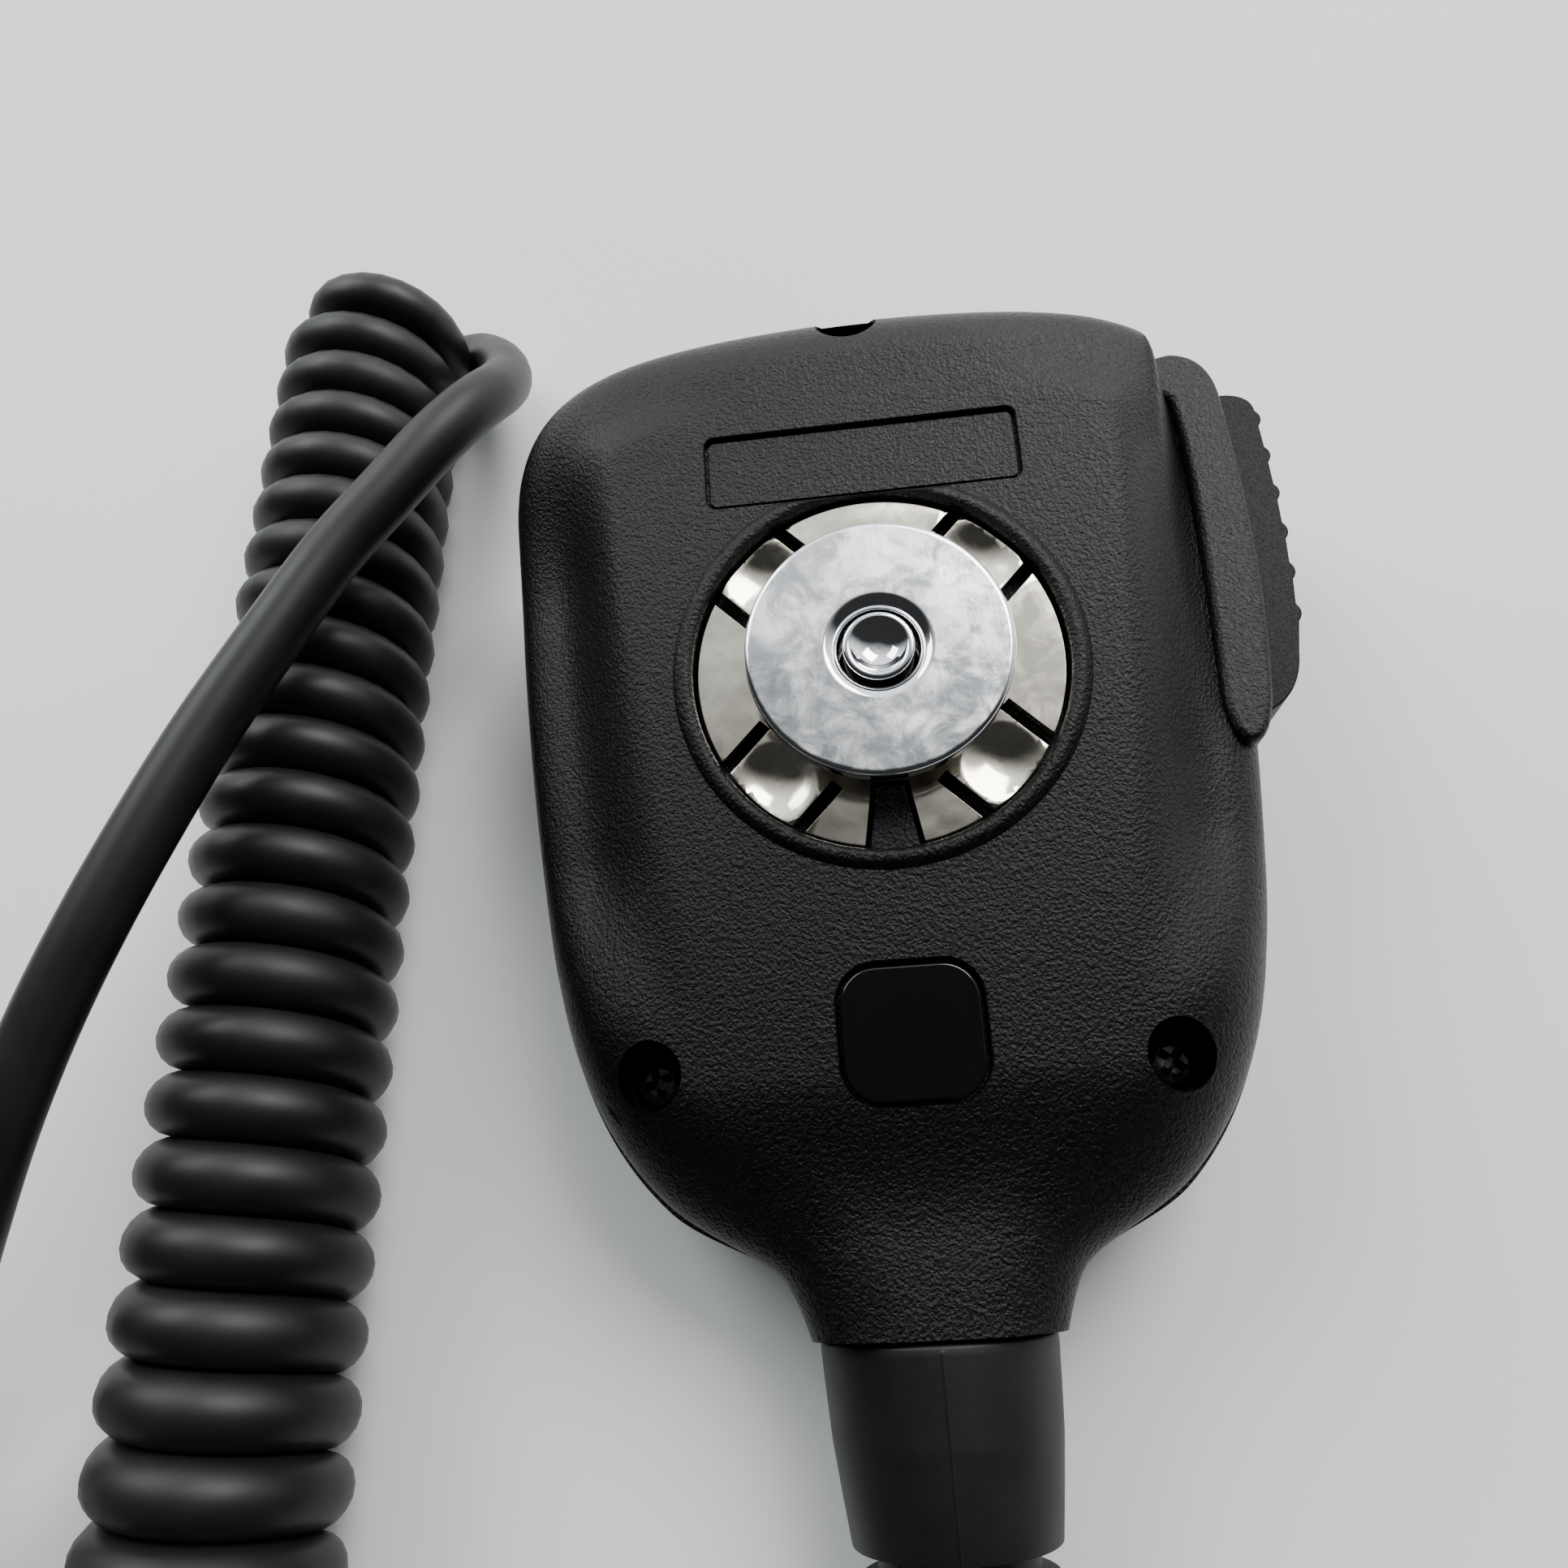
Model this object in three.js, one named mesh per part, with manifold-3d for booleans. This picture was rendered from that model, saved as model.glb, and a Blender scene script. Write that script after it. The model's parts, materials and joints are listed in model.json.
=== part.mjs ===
// Hand microphone with a push-to-talk lever, a hang-up button and a curly cord.
// Millimetres. The microphone lies on its front face: +Z is its back, +Y its top end,
// +X the side with the push-to-talk lever. The curly cord lies on the same surface.
import * as THREE from 'three';
import { mergeVertices } from 'three/addons/utils/BufferGeometryUtils.js';
import Module from 'manifold-3d';

const wasm = await Module();
wasm.setup();

// ---------------------------------------------------------------- driving dimensions
const gap = 0.3;                     // between any two pieces that touch
const partingZ = 12.05;              // middle of the joint between the two housing halves
const wall = 2.4;                    // housing wall
const floorThickness = 2.2;          // front wall behind the grille
const backSlope = 0.123;             // the back rises towards the top end
const backHeight = 23.4;             // height of the back plane on the button's axis
const endRadius = 7.4;               // rounding of the back edge at both ends
const neckEndY = -47.0;              // lower end of the housing
const neckTop = 17.3;                // height of the neck's back
const footprintCentre = [2.4, -22.6];     // of housing, lever and strain relief; the part's origin

const buttonRadius = 10.0;           // hang-up button
const buttonThickness = 1.65;
const buttonLift = 2.9;              // from the spring plate to the underside of the button
const plateDrop = 0.63;              // spring plate's top face below the back plane
const plateRadius = 14.2;
const plateThickness = 0.8;
const collarInner = 14.5;
const collarOuter = 16.0;

const labelY = 17.8;                 // blank name-plate recess
const labelSize = [25.4, 6.4, 0.8];
const inlayY = -27.4;                // gloss inlay near the neck
const inlaySize = [10.0, 9.3, 2.6];
const wells = [                      // screw wells in the back: x, y, radius
  [-18.95, -29.2, 2.45],
  [18.2, -30.0, 2.45],
  [-0.2, 32.2, 2.65],                // this one is in the curved top edge
];
const screwPlaces = [[-18.95, -29.2], [18.2, -30.0], [-0.2, 31.75]];
const screwHeads = [2.05, 2.05, 1.8];
const grilleY = 12.0;

const leverZ = [6.3, 15.9];          // push-to-talk lever, lowest and highest
const pivotX = 28.6;
const pivotY = 25.4;
const pinRadius = 1.25;
const plungerY = 3.0;                // push-button of the switch behind the lever
const plungerZ = 12.8;
const boardZ = 9.6;
const boardThickness = 1.2;

const reliefZ = 8.7;                 // axis of the strain relief
const reliefEndY = -80.0;
const cordDiameter = 5.1;
const coilRadius = 9.25;             // outer radius of the curly stretch
const coilZ = coilRadius + 0.05;

// ---------------------------------------------------------------- materials
const material = (color, roughness, metalness = 0) =>
  new THREE.MeshStandardMaterial({ color, roughness, metalness });
const blackPlastic = material(0x17181a, 0.5);
const glossBlack = material(0x050505, 0.12);
const leverPlastic = material(0x202122, 0.55);
const darkRubber = material(0x202020, 0.65);
const cordRubber = material(0x1b1b1c, 0.6);
const zincPlate = material(0xc4c9d2, 0.3, 1);
const nickelPlate = material(0xd2cec2, 0.15, 1);
const steel = material(0x8d8f92, 0.35, 1);
const brass = material(0xb99a55, 0.35, 1);
const boardGreen = material(0x1f5a34, 0.45);
const chipBlack = material(0x121212, 0.6);
const feltGrey = material(0x2c2c2e, 0.95);
const clearPlastic = material(0xd9dee0, 0.1);
const goldPlate = material(0xd8b254, 0.25, 1);
const wireColours = [0xb3261e, 0xd9d6cc, 0x2f6db3, 0x1d1d1d];

// ---------------------------------------------------------------- helpers
// A three.js geometry as a solid that can be joined and cut.
function solid(geometry) {
  const bare = geometry.clone();
  bare.deleteAttribute('normal');
  bare.deleteAttribute('uv');
  const merged = mergeVertices(bare, 1e-4);
  return new wasm.Manifold(new wasm.Mesh({
    numProp: 3,
    vertProperties: new Float32Array(merged.attributes.position.array),
    triVerts: new Uint32Array(merged.index.array),
  }));
}

function geometryOf(body) {
  const mesh = body.getMesh();
  const geometry = new THREE.BufferGeometry();
  geometry.setAttribute('position', new THREE.BufferAttribute(mesh.vertProperties, 3));
  geometry.setIndex(new THREE.BufferAttribute(mesh.triVerts, 1));
  return geometry;
}

const box = (sx, sy, sz, x, y, z) => new THREE.BoxGeometry(sx, sy, sz).translate(x, y, z);

// An upright cylinder between two heights.
const post = (radius, z0, z1, x = 0, y = 0, sides = 16) =>
  new THREE.CylinderGeometry(radius, radius, z1 - z0, sides)
    .rotateX(Math.PI / 2).translate(x, y, (z0 + z1) / 2);

// A profile of [radius, height] pairs turned about the Z axis.
const turned = (profile, sides = 20) =>
  new THREE.LatheGeometry(profile.map(([r, z]) => new THREE.Vector2(r, z)), sides).rotateX(Math.PI / 2);

const extruded = (shape, z0, z1, bevel = 0) => new THREE.ExtrudeGeometry(shape, {
  depth: z1 - z0 - 2 * bevel, curveSegments: 6, bevelEnabled: bevel > 0,
  bevelSize: bevel, bevelThickness: bevel, bevelOffset: -bevel, bevelSegments: 2,
}).translate(0, 0, z0 + bevel);

function roundedRect(width, height, radius) {
  const [w, h] = [width / 2 - radius, height / 2 - radius];
  const shape = new THREE.Shape();
  shape.absarc(w, h, radius, 0, Math.PI / 2);
  shape.absarc(-w, h, radius, Math.PI / 2, Math.PI);
  shape.absarc(-w, -h, radius, Math.PI, 1.5 * Math.PI);
  shape.absarc(w, -h, radius, 1.5 * Math.PI, 2 * Math.PI);
  return shape;
}

// Lifts every point with the slope of the back.
function sloped(geometry) {
  const position = geometry.attributes.position;
  for (let i = 0; i < position.count; i++) {
    position.setZ(i, position.getZ(i) + backSlope * position.getY(i));
  }
  return geometry;
}

// A closed solid through rings of points, all with the same number of points.
function lofted(rings) {
  const count = rings[0].length;
  const points = rings.flat();
  const faces = [];
  const flat = (ring) => ring.map((p) => new THREE.Vector2(p.x, p.y));
  for (const [a, b, c] of THREE.ShapeUtils.triangulateShape(flat(rings[0]), [])) faces.push(a, c, b);
  for (let r = 0; r + 1 < rings.length; r++) {
    for (let i = 0; i < count; i++) {
      const [a, b] = [r * count + i, r * count + (i + 1) % count];
      faces.push(a, b, b + count, a, b + count, a + count);
    }
  }
  const top = (rings.length - 1) * count;
  for (const [a, b, c] of THREE.ShapeUtils.triangulateShape(flat(rings.at(-1)), [])) {
    faces.push(top + a, top + b, top + c);
  }
  const geometry = new THREE.BufferGeometry().setFromPoints(points);
  geometry.setIndex(faces);
  return geometry;
}

const { smoothstep, lerp, clamp } = THREE.MathUtils;

// ---------------------------------------------------------------- housing outline
// Right half of the plan at the housing joint, from the top end down to the neck.
const halfPlan = new THREE.Path();
halfPlan.moveTo(0, 34.7);
halfPlan.bezierCurveTo(8.5, 34.6, 16.8, 33.9, 21.6, 32.2);
halfPlan.bezierCurveTo(27.5, 30.1, 31.1, 26.4, 31.1, 19.6);
halfPlan.bezierCurveTo(31.1, 8, 29.4, -6, 28.0, -15.8);
halfPlan.bezierCurveTo(27.0, -23.5, 25.2, -31.6, 19.0, -37.5);
halfPlan.bezierCurveTo(16.3, -40.1, 11.6, -41.6, 10.4, -43.3);
halfPlan.bezierCurveTo(9.7, -44.4, 9.2, -45.8, 8.8, neckEndY);
const rightSide = halfPlan.getPoints(5).filter((p, i, all) => i === 0 || p.distanceTo(all[i - 1]) > 0.4);
const plan = [
  ...rightSide.slice().reverse(),
  ...rightSide.slice(1).map((p) => new THREE.Vector2(-p.x, p.y)),
];

// The plan moved inwards along its own normals; the neck's end stays straight.
function insetPlan(distance) {
  return plan.map((p, i) => {
    const before = plan[Math.max(i - 1, 0)];
    const after = plan[Math.min(i + 1, plan.length - 1)];
    const along = after.clone().sub(before).normalize();
    const y = i === 0 || i === plan.length - 1 ? neckEndY + Math.max(distance, 0) : p.y + along.x * distance;
    return new THREE.Vector2(p.x - along.y * distance, y);
  });
}
const planShape = (distance) => new THREE.Shape(insetPlan(distance));

// The back is shaped on a plan whose neck runs on past its end, and the neck is then cut off.
const neckRun = 14;
const runOn = [1, -1].map((side) => new THREE.Vector2(side * 8.2, neckEndY - neckRun));
const backPlan = [runOn[0], ...plan, runOn[1]];

function distanceToPlan(x, y) {
  const point = new THREE.Vector3(x, y, 0);
  const near = new THREE.Vector3();
  const edge = new THREE.Line3();
  return Math.min(...backPlan.map((p, i) => {
    const q = backPlan[(i + 1) % backPlan.length];
    edge.set(new THREE.Vector3(p.x, p.y, 0), new THREE.Vector3(q.x, q.y, 0));
    return edge.closestPointToPoint(point, true, near).distanceTo(point);
  }));
}

// ---------------------------------------------------------------- back surface
const backPlane = (y) => backHeight + backSlope * y;
const edgeDrop = (inset, radius, height = radius) =>
  height * (1 - Math.sqrt(1 - (1 - Math.min(inset / radius, 1)) ** 2));

// Height of the back: a sloped plateau, a rounded edge at both ends, and along each
// side a slope down to a lower, rounded shoulder.
function backSurface(x, y) {
  const inset = distanceToPlan(x, y);
  const plateau = lerp(backPlane(y), neckTop, smoothstep(-y, 30, 41));
  const ends = plateau - edgeDrop(inset, endRadius, Math.min(endRadius, plateau - partingZ - 1.2));
  const shoulder = plateau - lerp(3.4, 6.0, smoothstep(y, -22, 22)) - edgeDrop(inset, 4.4, 3.4);
  const side = lerp(shoulder, plateau, smoothstep(inset, 3.6, 11.4));
  const weight = smoothstep(y, -27, -12) * (1 - smoothstep(y, 10, 33)) * smoothstep(Math.abs(x), 9, 19);
  const height = lerp(ends, side, weight);
  const valley = smoothstep(x, 24.6, 28.0) * smoothstep(y, -9, -3);   // beside the lever's bezel
  return height - Math.max(height - 17.7, 0) * valley;
}

// ---------------------------------------------------------------- assembly
const part = new THREE.Group();
const microphone = new THREE.Group();
microphone.position.set(-footprintCentre[0], -footprintCentre[1], 0);
part.add(microphone);
const buttonGroup = new THREE.Group();       // tilted with the back
buttonGroup.position.set(0, 0, backHeight);
buttonGroup.rotation.x = Math.atan(backSlope);
microphone.add(buttonGroup);

function add(group, name, body, look) {
  const geometry = body instanceof THREE.BufferGeometry ? body : geometryOf(body);
  const mesh = new THREE.Mesh(geometry, look);
  mesh.name = name;
  group.add(mesh);
  return mesh;
}

// ---------------------------------------------------------------- rear housing
// The button's pieces are worked out flat, then tilted with the back.
const tilted = (geometry) =>
  geometry.rotateX(Math.atan(backSlope)).translate(0, 0, backHeight);

function rearSkin() {
  const spine = (p) => new THREE.Vector2(0, clamp(p.y, neckEndY - 6, 18));
  const bottom = partingZ + gap / 2;
  const rings = [backPlan.map((p) => new THREE.Vector3(p.x, p.y, bottom))];
  for (const s of [0.02, 0.045, 0.085, 0.14, 0.2, 0.26, 0.34, 0.5]) {
    rings.push(backPlan.map((p) => {
      const q = p.clone().lerp(spine(p), s);
      return new THREE.Vector3(q.x, q.y, backSurface(q.x, q.y));
    }));
  }
  return solid(lofted(rings)).subtract(solid(box(40, 2 * neckRun, 40, 0, neckEndY - neckRun, 20)));
}

// Raised frame round the lever's slot; one half belongs to each housing.
function leverBezel(z0, z1) {
  const frame = new THREE.Shape();
  frame.moveTo(22.8, 30.4);
  frame.lineTo(28.4, 31.2);
  frame.quadraticCurveTo(31.6, 30.8, 31.95, 26.5);
  frame.bezierCurveTo(32.2, 16, 31.9, 6, 30.3, -3.0);
  frame.quadraticCurveTo(29.5, -7.3, 27.7, -7.0);
  frame.quadraticCurveTo(26.4, -6.4, 26.4, -3.0);
  frame.bezierCurveTo(27.3, 8, 28.2, 18, 27.6, 26.0);
  return solid(extruded(frame, z0, z1, 0.9));
}

const leverSlot = () => {
  const slot = new THREE.Shape();
  slot.moveTo(24.5, -4.4);
  slot.lineTo(38.5, -5.4);
  slot.lineTo(38.5, 29.1);
  slot.lineTo(24.5, 28.9);
  return solid(extruded(slot, leverZ[0] - 0.35, leverZ[1] + 0.35));
};

const sealInset = [0.9, 1.6];
const sealRing = (margin) => {
  const half = 0.75 + margin;
  const outer = solid(extruded(planShape(sealInset[0] - margin), partingZ - half, partingZ + half));
  const inner = solid(extruded(planShape(sealInset[1] + margin), partingZ - 3, partingZ + 3));
  return outer.subtract(inner).subtract(neckCut(margin)).subtract(leverCut(margin));
};
// The seal stops at the strain relief's neck and at the lever.
const neckCut = (margin) => solid(box(24 - 2 * margin, 8, 8, 0, neckEndY + 1 - margin, partingZ));
const leverCut = (margin) => solid(box(14, 40 - 2 * margin, 8, 33 + margin, 11.9, partingZ));

const cavity = (z0, z1) => solid(extruded(planShape(wall), z0, z1))
  .subtract(solid(box(60, 14, 60, 0, -44, 10)));

function neckBore() {
  const along = (radius, y0, y1) =>
    new THREE.CylinderGeometry(radius, radius, y0 - y1, 24).translate(0, (y0 + y1) / 2, reliefZ);
  return solid(along(7.0, -34, -43.8)).add(solid(along(5.3, -43, -50)));
}

function rearHousing() {
  const upperRoom = roundedRect(37, 52, 8);
  let body = rearSkin()
    .subtract(cavity(partingZ - 2, 14.9))
    .subtract(solid(sloped(extruded(upperRoom, 14, backHeight - 2.6).translate(0, -4.5, 0))))
    .add(solid(tilted(post(collarOuter + 1, -5.2, -1.2, 0, 0, 32))));
  const bosses = solid(extruded(planShape(0.8), partingZ + gap / 2, 30));
  for (const [x, y] of screwPlaces) {
    body = body.add(solid(post(4.1, partingZ, Math.min(backPlane(y) - 3.2, 21), x, y)).intersect(bosses));
  }
  body = body.add(leverBezel(partingZ + gap / 2, 18.7)
    .subtract(solid(box(20, 50, 4, 30, 10, partingZ - 2 + gap / 2))));
  body = body.add(solid(post(2.9, leverZ[1] + 0.35, 17.6, pivotX, pivotY)));
  // Raised collar, plate recess and the wedge that splits the lowest arc of the plate.
  const collar = turned([[collarInner - 0.6, -3], [collarOuter + 0.8, -3], [collarOuter + 0.3, -0.1],
    [collarOuter - 0.4, 0.45], [collarInner + 0.3, 0.5], [collarInner, 0.2], [collarInner - 0.6, -3]], 36);
  const wedge = new THREE.Shape([[-1.0, -9.6], [1.0, -9.6], [2.0, -15], [-2.0, -15]]
    .map(([x, y]) => new THREE.Vector2(x, y)));
  body = body.add(solid(tilted(collar)))
    .subtract(solid(tilted(post(collarInner, -2.3, 6, 0, 0, 36))))
    .add(solid(tilted(extruded(wedge, -2.5, -0.7))))
    .subtract(solid(tilted(post(3.4, -8, 0))));
  // Name-plate recess and inlay recess.
  const [labelWidth, labelHeight, labelCorner] = labelSize;
  const [inlayWidth, inlayHeight, inlayCorner] = inlaySize;
  body = body
    .subtract(solid(sloped(extruded(roundedRect(labelWidth, labelHeight, labelCorner), -0.3, 4)
      .translate(0, labelY, backHeight))))
    .subtract(solid(sloped(extruded(
      roundedRect(inlayWidth + 0.6, inlayHeight + 0.6, inlayCorner + 0.3), -1.1, 4)
      .translate(0, inlayY, backHeight))));
  const insideWall = solid(extruded(planShape(0.8), 10, 40));
  wells.forEach(([x, y, radius], i) => {
    body = body.subtract(solid(post(radius, 14.2, 40, x, y, 20)).intersect(insideWall))
      .subtract(solid(post(1.6, 10, 15, ...screwPlaces[i])));
  });
  return body
    .subtract(neckBore())
    .subtract(leverSlot())
    .subtract(solid(post(pinRadius + gap, 10, 17.7, pivotX, pivotY, 16)))
    .subtract(sealRing(gap));
}
add(microphone, 'rear_housing', rearHousing(), blackPlastic);

// ---------------------------------------------------------------- front housing
function frontSkin() {
  const lip = (y) => 0.4 * smoothstep(-y, 8, 26) * (1 - smoothstep(-y, 38, 43));
  const ring = (inset, z) => insetPlan(inset).map((p) => {
    const outwards = 1 + lip(p.y) / 30;
    return new THREE.Vector3(p.x * outwards, p.y * (p.y < -20 ? 1 + lip(p.y) / 40 : 1), z);
  });
  return solid(lofted([ring(3.4, 0), ring(1.5, 0.6), ring(0.5, 1.9), ring(0.1, 4.2),
    ring(0, partingZ - gap / 2)]));
}

function frontHousing() {
  let body = frontSkin().subtract(cavity(floorThickness, partingZ + 2));
  const bosses = solid(extruded(planShape(0.8), 1, partingZ - gap / 2));
  for (const [x, y] of screwPlaces) body = body.add(solid(post(3.4, 1.5, partingZ, x, y)).intersect(bosses));
  for (const [x, y] of boardScrews) body = body.add(solid(post(2.6, 1.5, boardZ - gap, x, y, 20)));
  body = body.add(leverBezel(4.3, partingZ + 2)
    .subtract(solid(box(20, 50, 6, 30, 10, partingZ + 3 - gap / 2))));
  body = body.add(solid(post(2.9, 1.5, leverZ[0] - 0.35, pivotX, pivotY)));
  body = body.subtract(solid(post(13.2, -1, 0.5, 0, grilleY, 32)));
  for (const row of [-2, -1, 0, 1, 2]) {
    const length = 2 * Math.sqrt(11 ** 2 - (row * 4) ** 2) - 2;
    const slot = roundedRect(length, 1.5, 0.7);
    body = body.subtract(solid(extruded(slot, -1, 4).translate(0, grilleY + row * 4, 0)));
  }
  for (const [x, y] of screwPlaces) body = body.subtract(solid(post(1.35, 3.4, 20, x, y, 16)));
  for (const [x, y] of boardScrews) body = body.subtract(solid(post(1.2, 3.4, 20, x, y, 16)));
  return body
    .subtract(neckBore())
    .subtract(leverSlot())
    .subtract(solid(post(pinRadius + gap, 3.2, 14, pivotX, pivotY, 16)))
    .subtract(sealRing(gap));
}
const boardScrews = [[-17.5, 18.5], [-17.5, -18.5]];
add(microphone, 'front_housing', frontHousing(), blackPlastic);
sealRing(0).decompose().sort((a, b) => b.volume() - a.volume()).forEach((body, i) =>
  add(microphone, ['case_seal_long', 'case_seal_short'][i], body, darkRubber));

// ---------------------------------------------------------------- screws
// Pan-head screw with a cross recess, head up, seated at headZ.
function screw(headRadius, headHeight, shankRadius, length) {
  const head = turned([[0, -length], [shankRadius * 0.6, -length], [shankRadius, -length + 1],
    [shankRadius, 0], [headRadius, 0], [headRadius, headHeight * 0.55],
    [headRadius * 0.72, headHeight], [0, headHeight]], 12);
  const arm = headRadius * 1.15;
  const cross = solid(box(arm, 0.55, 1.6, 0, 0, headHeight))
    .add(solid(box(0.55, arm, 1.6, 0, 0, headHeight)));
  return solid(head).subtract(cross);
}
['left', 'right', 'top'].forEach((side, i) => {
  const [x, y] = screwPlaces[i];
  const mesh = add(microphone, `housing_screw_${side}`, screw(screwHeads[i], 1.5, 1.05, 9.8), steel);
  mesh.position.set(x, y, 14.2 + gap);
  mesh.rotation.z = side === 'right' ? 0.9 : 0.35;
});

// ---------------------------------------------------------------- gloss inlay
const [inlayWidth, inlayHeight, inlayCorner] = inlaySize;
add(microphone, 'gloss_inlay', sloped(extruded(roundedRect(inlayWidth, inlayHeight, inlayCorner), -0.8, -0.15)
  .translate(0, inlayY, backHeight)), glossBlack);

// ---------------------------------------------------------------- hang-up button
// Round spring plate: four arcs and four petals, joined under the button.
function springPlate() {
  let body = solid(post(plateRadius, -plateDrop - plateThickness, -plateDrop, 0, 0, 36));
  for (let quarter = 0; quarter < 4; quarter++) {
    for (const side of [-1, 1]) {
      const slit = solid(new THREE.BoxGeometry(6, 1.5, 4).translate(12.2, side * 3.7, -plateDrop)
        .rotateZ(Math.PI / 4 + quarter * Math.PI / 2));
      body = body.subtract(slit);
    }
    const dish = new THREE.SphereGeometry(4.2, 16, 10).translate(11.9, 0, -plateDrop + 3.75)
      .rotateZ(Math.PI / 4 + quarter * Math.PI / 2);
    body = body.subtract(solid(dish));
  }
  const wedgeRoom = new THREE.Shape([[-1.4, -9.2], [1.4, -9.2], [2.4, -15], [-2.4, -15]]
    .map(([x, y]) => new THREE.Vector2(x, y)));
  return body.subtract(solid(extruded(wedgeRoom, -3, 2))).subtract(solid(post(3.1, -4, 2)));
}
add(buttonGroup, 'spring_plate', springPlate(), nickelPlate);

const buttonBase = -plateDrop + buttonLift;
const buttonTop = buttonBase + buttonThickness;
add(buttonGroup, 'hang_up_button', turned([
  [3.0, buttonBase], [buttonRadius - 0.7, buttonBase], [buttonRadius - 0.15, buttonBase + 0.25],
  [buttonRadius, buttonBase + 0.7], [buttonRadius - 0.1, buttonTop - 0.5],
  [buttonRadius - 0.55, buttonTop - 0.1],
  [buttonRadius - 1.0, buttonTop], [3.7, buttonTop], [3.25, buttonTop - 0.35], [3.0, buttonTop - 0.8],
  [3.0, buttonBase]], 36), zincPlate);

// Shouldered stud, peened over with a dimpled end, through the plate and the housing.
add(buttonGroup, 'button_stud', turned([
  [0, -9.2], [1.9, -9.2], [1.9, -4.2], [2.7, -4.0], [2.7, buttonTop - 0.25], [2.35, buttonTop - 0.05],
  [2.1, buttonTop - 0.25], [1.2, buttonTop - 0.75], [0, buttonTop - 0.95]], 24), nickelPlate);
const buttonSpacer = turned([[3.0 + gap, -plateDrop + gap], [5.2, -plateDrop + gap],
  [5.2, buttonBase - gap], [3.0 + gap, buttonBase - gap], [3.0 + gap, -plateDrop + gap]]);
add(buttonGroup, 'button_spacer', buttonSpacer, zincPlate);
add(buttonGroup, 'stud_washer',
  turned([[2.2, -6.1], [4.6, -6.1], [4.6, -5.5], [2.2, -5.5], [2.2, -6.1]]), steel);
const nut = solid(post(3.9, -8.7, -6.4, 0, 0, 6)).subtract(solid(post(2.2, -10, -5)));
add(buttonGroup, 'stud_nut', nut, brass);

// ---------------------------------------------------------------- push-to-talk lever
function lever() {
  const outerX = (y) => 35.8 - 0.0033 * (22 - Math.min(y, 22)) ** 2;
  const shape = new THREE.Shape();
  shape.moveTo(27.6, -2.7);
  shape.lineTo(30.8, -3.4);
  shape.quadraticCurveTo(33.5, -2.2, 34.1, 1.6);
  for (const y of [5.2, 9.2, 13.2, 17.2, 21.2, 25.2]) {      // finger ribs
    shape.lineTo(outerX(y) - 0.15, y - 0.8);
    shape.quadraticCurveTo(outerX(y) + 0.55, y, outerX(y + 0.8) - 0.15, y + 0.8);
  }
  shape.quadraticCurveTo(35.6, 27.8, 33.4, 28.1);
  shape.lineTo(28.2, 28.1);
  shape.quadraticCurveTo(26.9, 27.8, 26.9, 26);
  shape.lineTo(28.0, 18);
  const block = solid(extruded(shape, leverZ[0], leverZ[1], 0.7));
  const hollow = solid(box(3.2, 13, leverZ[1] - leverZ[0] - 4, 30.6, 12.5, 11.5))
    .add(solid(box(5, 12, leverZ[1] - leverZ[0] - 4, 27.4, 12.5, 11.5)));
  return block.subtract(hollow).subtract(solid(post(pinRadius + gap, 0, 30, pivotX, pivotY, 20)));
}
add(microphone, 'ptt_lever', lever(), leverPlastic);
add(microphone, 'ptt_pivot_pin', post(pinRadius, 3.6, 17.4, pivotX, pivotY, 16), steel);

const alongX = (radius, x0, x1, y, z, sides = 20) =>
  new THREE.CylinderGeometry(radius, radius, x1 - x0, sides).rotateZ(Math.PI / 2)
    .translate((x0 + x1) / 2, y, z);
const switchBody = solid(box(4.6, 6.4, 3.4, 22.9, plungerY, plungerZ))
  .subtract(solid(alongX(1.35, 22.2, 27, plungerY, plungerZ)));
add(microphone, 'switch_body', switchBody, chipBlack);
add(microphone, 'switch_plunger', alongX(1.05, 23.9, 27.2, plungerY, plungerZ), leverPlastic);

// Leaf spring that pushes the lever out, standing on the board's tab.
const leaf = new THREE.Shape();
leaf.moveTo(22.2, 9.6);
leaf.lineTo(22.2, 8.9);
leaf.lineTo(24.2, 8.9);
leaf.quadraticCurveTo(25.3, 10, 25.2, 13);
leaf.quadraticCurveTo(25.3, 16.5, 26.3, 17.5);
leaf.lineTo(25.8, 17.9);
leaf.quadraticCurveTo(24.6, 16.8, 24.7, 13);
leaf.quadraticCurveTo(24.8, 10.2, 23.9, 9.6);
add(microphone, 'ptt_return_spring', extruded(leaf, 11.2, 14.5), steel);

// ---------------------------------------------------------------- circuit board
function circuitBoard() {
  const shape = new THREE.Shape();
  shape.moveTo(-22.5, -22);
  for (const [x, y] of [[20, -22], [20, -2], [25.6, -2], [25.6, 20.5], [20, 20.5], [20, 23], [-22.5, 23]]) {
    shape.lineTo(x, y);
  }
  let body = solid(extruded(shape, boardZ, boardZ + boardThickness));
  for (const [x, y] of boardScrews) body = body.subtract(solid(post(1.5, 5, 15, x, y, 16)));
  return body;
}
add(microphone, 'circuit_board', circuitBoard(), boardGreen);
boardScrews.forEach(([x, y], i) => {
  const mesh = add(microphone, `board_screw_${i + 1}`, screw(2.0, 1.3, 0.9, 6.4), steel);
  mesh.position.set(x, y, boardZ + boardThickness + gap);
});
const onBoard = boardZ + boardThickness + gap;
add(microphone, 'amplifier_chip', box(7, 5, 1.6, -4, 9, onBoard + 0.8), chipBlack);
[[-11, -6], [-4.5, -6]].forEach(([x, y], i) =>
  add(microphone, `capacitor_${i + 1}`, post(2.2, onBoard, onBoard + 3.4, x, y, 20), steel));
const headerY = -18;
add(microphone, 'wire_header', box(12, 4.4, 3.2, 2, headerY, onBoard + 1.6), clearPlastic);
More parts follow.
